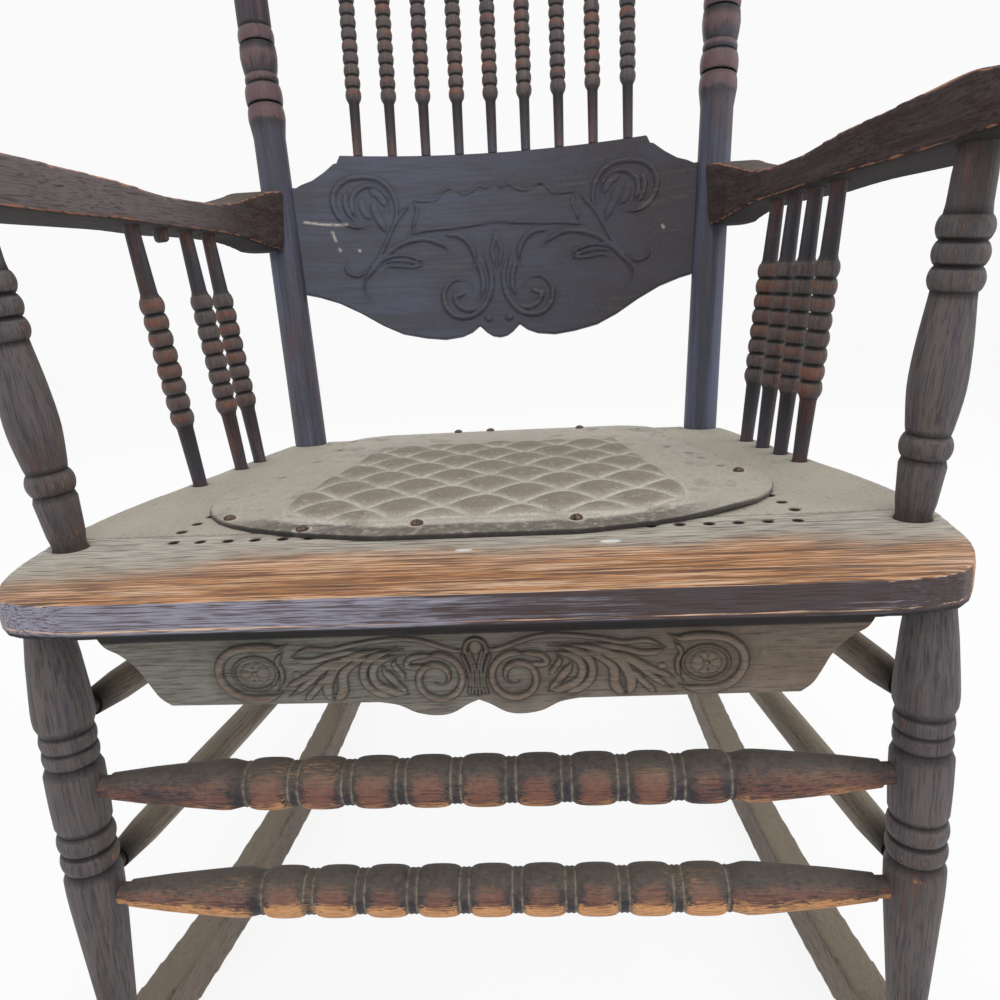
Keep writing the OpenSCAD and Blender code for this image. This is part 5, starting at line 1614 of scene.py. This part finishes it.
# Strokes, their width, the share of the carving's depth that they rise, and how long their ends thin.
LEAF_RIDGES = (
    ([LEAF_TOP_STROKE], 0.0032, 0.6, 0.1, 0.1), ([LEAF_EAR_STROKE], 0.0040, 0.7),
    (STEM_STROKES, 0.0042, 0.8), (FROND_STROKES, 0.0062, 0.9), (CURL_STROKES, 0.0050, 0.9),
    (TONGUE_STROKES, 0.0038, 0.8))
FRAME_RIDGES = (([FRAME_STROKE], 0.0052, 1, 0.12, 0.12), ([FRAME_INNER_STROKE], 0.0030, 0.8))
FAN_RIDGES = ((FAN_STROKES, 0.0019, 0.7, 0.02, 0.02), ([CROWN_STROKE], 0.0024, 0.8, 0.1, 0.0))
VEIN_WIDTH = 0.0012
# The volute's outer and inner radius, the angle that it starts at, its turns and its width.
VOLUTE = (0.0150, 0.0028, 75, 1.62, 0.0042)
ROSETTE_REACH = 0.0085
RING_SHARES = (0.058, 0.165)
RING_WIDTH = 0.0020
BUD = (0.0026, 0.0018)
EYE = (0.0034, 0.0040)
# A painted shadow darkens the apron's top under the seat's overhang, with a soft lower edge.
SEAT_SHADOW_EDGE = 0.0010
SEAT_SHADOW = 0.97


class ROCKER_OT_apron(bpy.types.Operator):
    """Makes the carved apron"""
    bl_idname = "rocker.apron"
    bl_label = "Apron"

    sunk: size("Carving depth", "Depth of the apron's carving", 0.0022)
    in_shade: size("Shadow depth", "How far the painted shadow reaches down from the seat", 0.0205)

    def carve(self, x, z):
        s = bpy.context.scene.rocker_seat
        made = Carving(x, z, s.apron_half, 0, -s.apron_height)
        rise = self.sunk
        made.ridges(LEAF_RIDGES, rise)
        for stroke in VEIN_STROKES:
            made.groove(stroke, VEIN_WIDTH, rise * 0.4)
        made.spiral(VOLUTE_SPOT, *VOLUTE, rise)
        made.ridges(FRAME_RIDGES, rise)
        ring = [(ROSETTE_SPOT[0] + RING_SHARES[0] * math.cos(a),
                 ROSETTE_SPOT[1] + RING_SHARES[1] * math.sin(a)) for a in np.linspace(0, math.tau, 25)]
        made.ridge(ring, RING_WIDTH, rise * 0.6, 0.0, 0.0)
        made.rosette(ROSETTE_SPOT, 7, ROSETTE_REACH, rise * 0.9)
        made.dome(BUD_SPOT, *BUD, rise * 0.7)
        made.ridges(FAN_RIDGES, rise)
        made.dome(EYE_SPOT, *EYE, rise * 0.6)
        # Painted shadow of the seat on the apron's top.
        made.shade = SEAT_SHADOW * smooth_step(-self.in_shade - SEAT_SHADOW_EDGE, -self.in_shade, z)
        return made

    def execute(self, context):
        s = context.scene.rocker_seat
        low = [(x * s.apron_half, -s.apron_height - y * s.apron_lobe) for x, y in smooth(LOBE_SHARES, 4)]
        low += [(x * s.apron_half, -y * s.apron_height) for x, y in smooth(APRON_END_SHARES, 4)]
        high = [(0, 0), (s.apron_half, 0)]
        obj = carved_board("front_apron_carved", 600, 120, s.apron_half, low, high,
                           s.apron_thickness, self.sunk, self.carve, 0.75, 0.8)
        middle = s.apron_front + s.apron_thickness / 2
        place(obj, Matrix.Translation((0, middle, s.top - s.thickness)))
        finished(obj, apron_oak(), "oak_dusty", "front_apron")
        return {"FINISHED"}


class ROCKER_OT_runners(bpy.types.Operator):
    """Makes the two runners"""
    bl_idname = "rocker.runners"
    bl_label = "Runners"

    def execute(self, context):
        s = context.scene.rocker_base
        for side in SIDES:
            obj = softened("runner_" + side, s.runner_voxel, 5, SAWN_WEAR, (0, 2, 1))
            finished(obj, runner_oak(), "oak_dusty", "runner_" + side)
        return {"FINISHED"}


class ROCKER_OT_legs(bpy.types.Operator):
    """Turns the four legs"""
    bl_idname = "rocker.legs"
    bl_label = "Legs"

    def execute(self, context):
        s = context.scene.rocker_base
        for end in ("front", "rear"):
            low, high = leg_axis(end, SIDES["right"])
            first = turned("leg_blank_" + end, leg_profile((high - low).length, s.leg))
            pair(first, end + "_leg_", lambda sign: leg_axis(end, sign), turned_oak(), "oak_worn")
        return {"FINISHED"}


COLLAR_LINE_SHARE = 0.405
COLLAR_LINE_WIDTH = 0.018
# How rubbed and how bare each level is, and how far round its bare part starts, in radians.
SHOE_WEAR = {"lower": (0.90, 1.05, -0.48), "upper": (0.80, 0.58, -0.15)}


def shoe_wear(level, s):
    """Shoes rubbed the stretchers bare: the lower one on its lower half, the upper in places."""
    strength, bare, bare_from = SHOE_WEAR[level]

    def rubbed(obj, here):
        own = random.Random(obj.name)
        each = np.array([own.uniform(0.75, 1.1) for _ in range(s.beads + 2)])
        place = here[:, 2] / s.bead_pitch + s.beads / 2
        bead = np.clip(place + 1, 0, s.beads + 1).astype(int)
        inside = (place > 0) & (place < s.beads)
        from_middle = np.abs(place % 1 - 0.5)
        middle = np.where(inside, smooth_step(0.42, 0.14, from_middle), 0.7)
        crest = np.where(inside, smooth_step(0.45, 0.32, from_middle), 0.8)
        turned_down = np.arctan2(-here[:, 1], -here[:, 0])
        below = smooth_step(2.1, 1.6, turned_down)
        low = smooth_step(bare_from, bare_from + 0.8, turned_down) * below
        mark(obj, bare=bare * each[bead] * crest * low)
        return strength * each[bead] * middle * smooth_step(-1.25, -0.4, turned_down) * below

    return rubbed


class ROCKER_OT_front_stretchers(bpy.types.Operator):
    """Turns the two beaded front stretchers"""
    bl_idname = "rocker.front_stretchers"
    bl_label = "Front Stretchers"

    def execute(self, context):
        s = context.scene.rocker_base
        for level, drop in (("upper", s.upper_drop), ("lower", s.lower_drop)):
            right = leg_at("front", SIDES["right"], drop)
            middle = Vector((0, right.y, right.z))
            profile = front_stretcher_profile(right.x - s.leg / 2 + FRONT_RUNG_DEPTH, s)
            obj = turning("front_stretcher_" + level, profile, middle, middle + Vector((1, 0, 0)),
                          stretcher_oak(), "oak_worn", 56, shoe_wear(level, s))
            along = coords(obj)[:, 0] / s.bead_pitch
            lines = np.abs((along + s.beads / 2) % 1 - 0.5)
            in_row = np.abs(along) < s.beads / 2 + 0.1
            mark(obj, dust=bell(lines, COLLAR_LINE_SHARE, COLLAR_LINE_WIDTH) * in_row,
                 raised=0 * along, recess=0.5 * marked(obj, "recess"))
        return {"FINISHED"}


def plain_rung(name, a, b, depth):
    """Turns a plain stretcher that goes some way into the legs whose axes pass a and b."""
    s = bpy.context.scene.rocker_base
    inner = (b - a).normalized() * (s.leg / 2 - depth)
    profile = rung_profile((b - a - 2 * inner).length, depth, s.rung)
    turning(name, profile, a + inner, b - inner, rung_oak(), "oak_dusty", 32)


class ROCKER_OT_plain_stretchers(bpy.types.Operator):
    """Turns the side stretchers and the rear one"""
    bl_idname = "rocker.plain_stretchers"
    bl_label = "Plain Stretchers"

    def execute(self, context):
        s, seat = context.scene.rocker_base, context.scene.rocker_seat
        slope = (s.rear_foot_y - s.front_y) * SIDE_SLOPE_SHARE
        for level, drop in (("upper", s.upper_side_drop), ("lower", s.lower_side_drop)):
            for side, sign in SIDES.items():
                plain_rung(f"side_stretcher_{level}_{side}", leg_at("front", sign, drop),
                           leg_at("rear", sign, drop + slope), SIDE_RUNG_DEPTH)
        drop = lerp(seat.thickness, seat.top, REAR_STRETCHER_SHARE)
        ends = [leg_at("rear", sign, drop) for sign in SIDES.values()]
        plain_rung("rear_stretcher", *ends, FRONT_RUNG_DEPTH)
        return {"FINISHED"}


class ROCKER_OT_back_posts(bpy.types.Operator):
    """Turns the two back posts"""
    bl_idname = "rocker.back_posts"
    bl_label = "Back Posts"

    def execute(self, context):
        s = context.scene.rocker_back
        first = turned("post_blank", post_profile(s), 48)
        upper = smooth_step(s.post_plain, s.post_plain + POST_TAPER, coords(first)[:, 2])
        crests = smooth_step(0.35, 0.95, marked(first, "raised"))
        worn = upper * crests * 0.85 + 0.12 * (1 - upper)
        mark(first, tint=upper, raised=0 * upper)
        pair(first, "back_post_", post_axis, post_oak(), "oak_dark", lambda obj, here: worn)
        return {"FINISHED"}


# Strength of the painted shade in the back boards' hollows.
BOARD_DARK = 0.52


def back_board(name, made_name, half, foot, top, thickness, bow, outlines, grid, sunk, cut, warm):
    """Makes a carved board between the posts, bows it to the rear and leans it back."""
    low, high = [[(x * half, lerp(foot, top, z)) for x, z in shares] for shares in outlines]
    obj = carved_board(made_name, *grid, half, low, high, thickness, sunk, cut, warm, BOARD_DARK)
    here = coords(obj)
    here[:, 1] += bow_y(here[:, 0], half, bow)
    set_coords(obj, here)
    place(obj, back_matrix())
    finished(obj, panel_oak(), "oak_dark", name)


# The back panel's pressed pattern: scrolls at the sides, a leafy band and two volutes.
SCROLL_STROKES = [
    [(0.595, 0.63), (0.665, 0.615), (0.735, 0.66), (0.768, 0.75), (0.745, 0.83), (0.685, 0.875),
     (0.600, 0.885), (0.535, 0.86), (0.490, 0.80), (0.472, 0.72), (0.488, 0.64), (0.520, 0.57),
     (0.540, 0.48)],
    [(0.655, 0.66), (0.682, 0.72), (0.672, 0.79), (0.622, 0.835), (0.560, 0.83), (0.517, 0.78),
     (0.505, 0.70)],
    [(0.700, 0.81), (0.712, 0.75), (0.698, 0.69), (0.668, 0.64)]]
SCROLL_LEAVES = [[(0.600, 0.815), (0.565, 0.795), (0.535, 0.755), (0.530, 0.71)],
    [(0.585, 0.76), (0.572, 0.69), (0.545, 0.63), (0.522, 0.57)],
    [(0.640, 0.77), (0.625, 0.70), (0.590, 0.65)]]
BAND_TOP = [(0, 0.83), (0.015, 0.81), (0.073, 0.82), (0.105, 0.795), (0.145, 0.785), (0.189, 0.80),
     (0.229, 0.81), (0.265, 0.785), (0.290, 0.755), (0.330, 0.75), (0.385, 0.75), (0.400, 0.70)]
BAND_LOW = [(0, 0.615), (0.10, 0.61), (0.224, 0.60), (0.342, 0.59), (0.400, 0.58)]
BAND_STROKES = [[(0.400, 0.745), (0.425, 0.72), (0.470, 0.66), (0.502, 0.60), (0.545, 0.50),
     (0.600, 0.41), (0.680, 0.36)],
    [(0.390, 0.75), (0.374, 0.70), (0.392, 0.64), (0.410, 0.58)],
    [(0.430, 0.57), (0.342, 0.595), (0.224, 0.605), (0.10, 0.615), (0.0, 0.62)],
    [(0.395, 0.755), (0.330, 0.755), (0.285, 0.76), (0.262, 0.79), (0.225, 0.815), (0.180, 0.795)],
    [(0.180, 0.795), (0.145, 0.785), (0.105, 0.80), (0.073, 0.825), (0.035, 0.81), (0.0, 0.83)]]
LONG_C_STROKES = [[(0.222, 0.47), (0.270, 0.52), (0.345, 0.55), (0.430, 0.535), (0.510, 0.49),
     (0.590, 0.40), (0.636, 0.33), (0.640, 0.26), (0.610, 0.22)],
    [(0.252, 0.56), (0.191, 0.565), (0.135, 0.52), (0.108, 0.45), (0.118, 0.38)]]
SPRAY_STROKES = [[(0.356, 0.42), (0.402, 0.45), (0.470, 0.465), (0.538, 0.445), (0.585, 0.40)],
    [(0.365, 0.415), (0.430, 0.43), (0.500, 0.435), (0.560, 0.41)],
    [(0.356, 0.41), (0.418, 0.40), (0.500, 0.405), (0.545, 0.385)],
    [(0.720, 0.42), (0.715, 0.375), (0.676, 0.355), (0.622, 0.375)]]
LOW_SCROLL_STROKES = [[(0.070, 0.47), (0.036, 0.37), (0.030, 0.29), (0.050, 0.21), (0.095, 0.145),
     (0.155, 0.115), (0.218, 0.128), (0.258, 0.18), (0.264, 0.25), (0.236, 0.30), (0.187, 0.318),
     (0.140, 0.30), (0.122, 0.26)],
    [(0.085, 0.17), (0.145, 0.155), (0.190, 0.175), (0.212, 0.225), (0.170, 0.245), (0.225, 0.255)],
    [(0.098, 0.42), (0.075, 0.34), (0.072, 0.27), (0.092, 0.20)]]
STALK_STROKE = [(0.0, 0.58), (0.010, 0.52), (0.022, 0.47), (0.012, 0.40), (0.0, 0.36)]
KNOB_SPOT = (0.050, 0.105)
KNOB = (0.0042, 0.0036)
PANEL_RIDGES = (
    (SCROLL_STROKES + LOW_SCROLL_STROKES + LONG_C_STROKES, 0.0058, 1),
    (BAND_STROKES + SPRAY_STROKES, 0.0040, 0.85), (SCROLL_LEAVES, 0.0080, 0.8))
STALK_WIDTH = 0.0050
BAND_END_SHARE = 0.395
BAND_SLOPE = 0.003
SCRATCHES = [[(-0.190, 0.221), (-0.172, 0.219), (-0.149, 0.219)], [(-0.164, 0.212), (-0.161, 0.203)],
    [(-0.158, 0.195), (-0.157, 0.193)], [(-0.139, 0.194), (-0.138, 0.193)], [(0.166, 0.199),
     (0.167, 0.197)]]
SCRATCH_WIDTH = 0.0011


class ROCKER_OT_back_panel(bpy.types.Operator):
    """Makes the bowed and pressed back panel"""
    bl_idname = "rocker.back_panel"
    bl_label = "Back Panel"

    sunk: size("Pressing depth", "Depth of the back panel's pattern", 0.0017)

    def carve(self, x, z):
        s = bpy.context.scene.rocker_back
        height = s.panel_top - s.panel_low
        made = Carving(x, z, panel_half(), s.panel_low, height)
        band_top = np.interp(made.x, *np.transpose(scaled(BAND_TOP, made.half, height)))
        band_low = np.interp(made.x, *np.transpose(scaled(BAND_LOW, made.half, height)))
        up = made.z - s.panel_low
        inside = np.minimum(np.minimum(band_top - up, up - band_low), BAND_END_SHARE * made.half - made.x)
        made.plateau(smooth_step(0, BAND_SLOPE, inside), self.sunk * 0.45)
        rise = self.sunk
        made.ridges(PANEL_RIDGES, rise)
        for line in SCRATCHES:
            away, _ = nearest(x, z, line)
            made.scratches = np.maximum(made.scratches, 0.8 * bell(away, 0, SCRATCH_WIDTH))
        made.ridge(STALK_STROKE, STALK_WIDTH, rise * 0.7)
        made.dome(KNOB_SPOT, *KNOB, rise)
        return made

    def execute(self, context):
        s = context.scene.rocker_back
        back_board("back_panel", "back_panel_pressed", panel_half(), s.panel_low, s.panel_top,
                   s.panel_thickness, s.panel_bow, (BACK_LOW_SHARES, BACK_HIGH_SHARES), (380, 160),
                   self.sunk, self.carve, 0.28)
        return {"FINISHED"}


# The crest rail's pattern is of the same family as the panel's.
CREST_STROKES = [[(0.02, 0.30), (0.10, 0.22), (0.19, 0.24), (0.235, 0.38), (0.20, 0.54), (0.13, 0.60),
     (0.075, 0.52), (0.085, 0.40), (0.13, 0.38)],
    [(0.235, 0.46), (0.31, 0.62), (0.42, 0.66), (0.53, 0.56), (0.60, 0.40), (0.69, 0.28), (0.78, 0.30),
     (0.815, 0.42), (0.78, 0.54), (0.72, 0.52), (0.70, 0.43)],
    [(0.27, 0.30), (0.35, 0.42), (0.45, 0.44), (0.53, 0.34), (0.58, 0.22)],
    [(0.30, 0.24), (0.37, 0.31), (0.44, 0.31), (0.49, 0.22)],
    [(0.55, 0.60), (0.63, 0.62), (0.70, 0.66), (0.76, 0.62)],
    [(0.0, 0.86), (0.05, 0.82), (0.085, 0.72), (0.06, 0.62), (0.0, 0.60)],
    [(0.11, 0.80), (0.17, 0.76), (0.24, 0.77), (0.30, 0.74)]]
CREST_STROKE_WIDTH = 0.0070
CREST_ROSETTE_SPOT = (0.0, 0.44)
CREST_ROSETTE_REACH = 0.0120


class ROCKER_OT_crest_rail(bpy.types.Operator):
    """Makes the carved crest rail"""
    bl_idname = "rocker.crest_rail"
    bl_label = "Crest Rail"

    sunk: size("Pressing depth", "Depth of the crest rail's pattern", 0.0018)

    def carve(self, x, z):
        s = bpy.context.scene.rocker_back
        made = Carving(x, z, crest_half(), s.crest_low, s.crest_top - s.crest_low)
        made.ridges([(CREST_STROKES, CREST_STROKE_WIDTH, 1)], self.sunk)
        made.rosette(CREST_ROSETTE_SPOT, 8, CREST_ROSETTE_REACH, self.sunk)
        return made

    def execute(self, context):
        s = context.scene.rocker_back
        outlines = smooth(CREST_LOW_SHARES, 3), smooth(CREST_HIGH_SHARES, 3)
        back_board("crest_rail", "crest_rail_carved", crest_half(), s.crest_low, s.crest_top,
                   s.crest_thickness, s.crest_bow, outlines, (400, 110), self.sunk, self.carve, 0.30)
        return {"FINISHED"}


END_WEAR = 0.3
WORN_SHARES = (0.58, 0.26)


def bead_wear(start, number, length):
    """Rubs each bead of a spindle by its own amount: most a little, a few almost bare."""

    def rubbed(obj, here):
        own = random.Random(obj.name)
        each = np.array([END_WEAR] + [0.25 + 0.75 * own.random() ** 2 for _ in range(number)] + [END_WEAR])
        sides = np.array([own.uniform(0, math.tau) for _ in range(number + 2)])
        place = (here[:, 2] - start) / length
        bead = np.clip(place + 1, 0, number + 1).astype(int)
        one_side = 0.35 + 0.65 * np.cos(np.arctan2(here[:, 1], here[:, 0]) / 2 - sides[bead] / 2) ** 2
        worn = each[bead] * one_side * bell(place % 1, *WORN_SHARES)
        mark(obj, bare=worn * 1.15, tint=(bead == 0) | (bead == number + 1), raised=0 * place)
        return worn * 0.9 + 0.15

    return rubbed


def spindle(name, s, low, high, shaft, end, lean=Matrix()):
    """Turns one bobbin spindle between two places. It is measured before it leans."""
    length = (high - low).length
    start = (length - s.beads * s.bead_length) / 2
    turning(name, bobbin_profile(length, start, s, shaft, end), lean @ low, lean @ high, turned_oak(),
            "oak_worn", 28, bead_wear(start, s.beads, s.bead_length))


class ROCKER_OT_back_spindles(bpy.types.Operator):
    """Turns the nine back spindles"""
    bl_idname = "rocker.back_spindles"
    bl_label = "Back Spindles"

    shaft: size("Shaft", "Diameter of a spindle's shaft", 0.0105)

    def execute(self, context):
        s = context.scene.rocker_back
        shoulder = self.shaft / 2 * SHOULDER_SHARE
        pin = shoulder * PIN_SHARE
        end = [(pin, -PIN_DEPTH), (pin, 0), (shoulder, 0)]
        for i in range(-OUTER_SPINDLE, OUTER_SPINDLE + 1):
            x0, x1 = i * s.spindle_pitch, i * (s.spindle_pitch + s.spindle_fan)
            low = Vector((x0, bow_y(x0, panel_half(), s.panel_bow), s.panel_top))
            high = Vector((x1, bow_y(x1, crest_half(), s.crest_bow), s.crest_low))
            name = f"back_spindle_{i + OUTER_SPINDLE + 1}"
            spindle(name, s, low, high, self.shaft / 2, end, back_matrix())
        return {"FINISHED"}


class ROCKER_OT_arms(bpy.types.Operator):
    """Makes the two arms with worn edges"""
    bl_idname = "rocker.arms"
    bl_label = "Arms"

    def execute(self, context):
        s = context.scene.rocker_arm
        # The left arm's front gets a lighter ash tint, a painted highlight where light falls on it; the right
        # arm, in shade, gets none.
        for side, streaky in (("left", 0.95), ("right", 0)):
            obj = softened("arm_" + side, s.voxel, 5, SAWN_WEAR, (0, 2, 1))
            # The arms' undersides are painted dark as shade.
            mark(obj, tint=streaky * smooth_step(0.42, 0.26, coords(obj)[:, 1]),
                 recess=0.85 * smooth_step(0.6, 0.9, -normals(obj)[:, 2]))
            finished(obj, arm_oak(), "oak_worn", "arm_" + side)
        return {"FINISHED"}


class ROCKER_OT_arm_posts(bpy.types.Operator):
    """Turns the front arm posts"""
    bl_idname = "rocker.arm_posts"
    bl_label = "Arm Posts"

    def execute(self, context):
        s, seat = context.scene.rocker_arm, context.scene.rocker_seat
        for side, sign in SIDES.items():
            foot = Vector((sign * s.post_x, s.post_y, seat.top))
            head = foot + Vector((sign * s.post_lean, -s.post_lean, s.height))
            turning("arm_post_" + side, arm_post_profile((head - foot).length, s), foot, head,
                    turned_oak(), "oak_worn")
        return {"FINISHED"}


# The stump's broken end, as radius and height.
STUB_END = [(ARM_PIN * 0.6, -0.001), (ARM_PIN * 0.95, 0.0004), (ARM_PIN, 0.002)]


class ROCKER_OT_arm_spindles(bpy.types.Operator):
    """Turns the arm spindles and the stump of the broken one"""
    bl_idname = "rocker.arm_spindles"
    bl_label = "Arm Spindles"

    def execute(self, context):
        s = context.scene.rocker_arm
        end = [(ARM_PIN, -PIN_DEPTH), (ARM_PIN, ARM_PIN_BARE)]
        for side, sign in SIDES.items():
            for i in range(LAST_SPINDLE + 1):
                foot, head = arm_spindle_ends(i, sign)
                name = f"arm_spindle_{side}_{i + 1}"
                if side == "left" and i == BROKEN:
                    broken = [*STUB_END, (ARM_PIN, s.stub + PIN_DEPTH)]
                    low = head - (head - foot).normalized() * s.stub
                    turning(name + "_stub", broken, low, head, turned_oak(), "oak_worn", 20)
                else:
                    spindle(name, s, foot, head, ARM_SHAFT, end)
        return {"FINISHED"}


class ROCKER_OT_joinery(bpy.types.Operator):
    """Gives the dowels, pins, glue blocks and screws their finish"""
    bl_idname = "rocker.joinery"
    bl_label = "Joinery"

    def execute(self, context):
        c = context.scene.rocker_colours
        bare = material("bare_wood", plain_solid, c.bare, c.grime, 0.75)
        for name in ("seat_dowels", "foot_pins", "apron_glue_blocks"):
            show_node(name, bare)
        show_node("arm_screws", material("dull_steel", plain_solid, c.steel, c.black, 0.45, 0.9, 300.0))
        return {"FINISHED"}


class ROCKER_PT_sidebar(bpy.types.Panel):
    """Lists the sizes, the colours and the steps"""
    bl_idname = "ROCKER_PT_sidebar"
    bl_label = "Rocker"
    bl_space_type = "VIEW_3D"
    bl_region_type = "UI"
    bl_category = "Rocker"

    def draw(self, context):
        for group in GROUPS:
            box = self.layout.box()
            box.label(text=group.replace("rocker_", "").title())
            for key in GROUPS[group].__annotations__:
                box.prop(getattr(context.scene, group), key)
        for step in STEPS:
            self.layout.operator(step.bl_idname)


GROUPS = {"rocker_seat": SeatSizes, "rocker_back": BackSizes, "rocker_arm": ArmSizes,
          "rocker_base": BaseSizes, "rocker_colours": Colours}
STEPS = (ROCKER_OT_camera, ROCKER_OT_stage, ROCKER_OT_seat_boards, ROCKER_OT_seat_panel,
         ROCKER_OT_panel_tacks, ROCKER_OT_apron, ROCKER_OT_runners, ROCKER_OT_legs,
         ROCKER_OT_front_stretchers, ROCKER_OT_plain_stretchers, ROCKER_OT_back_posts,
         ROCKER_OT_back_panel, ROCKER_OT_crest_rail, ROCKER_OT_back_spindles, ROCKER_OT_arms,
         ROCKER_OT_arm_posts, ROCKER_OT_arm_spindles, ROCKER_OT_joinery)


def register():
    for made in (*GROUPS.values(), *STEPS, ROCKER_PT_sidebar):
        bpy.utils.register_class(made)
    for group, kind in GROUPS.items():
        setattr(bpy.types.Scene, group, bpy.props.PointerProperty(type=kind))


def unregister():
    for group in GROUPS:
        delattr(bpy.types.Scene, group)
    for made in reversed((*GROUPS.values(), *STEPS, ROCKER_PT_sidebar)):
        bpy.utils.unregister_class(made)


def main():
    register()
    bpy.context.scene.view_settings.view_transform = "Standard"
    for step in STEPS:
        group, name = step.bl_idname.split(".")
        getattr(getattr(bpy.ops, group), name)()


if __name__ == "__main__":
    main()
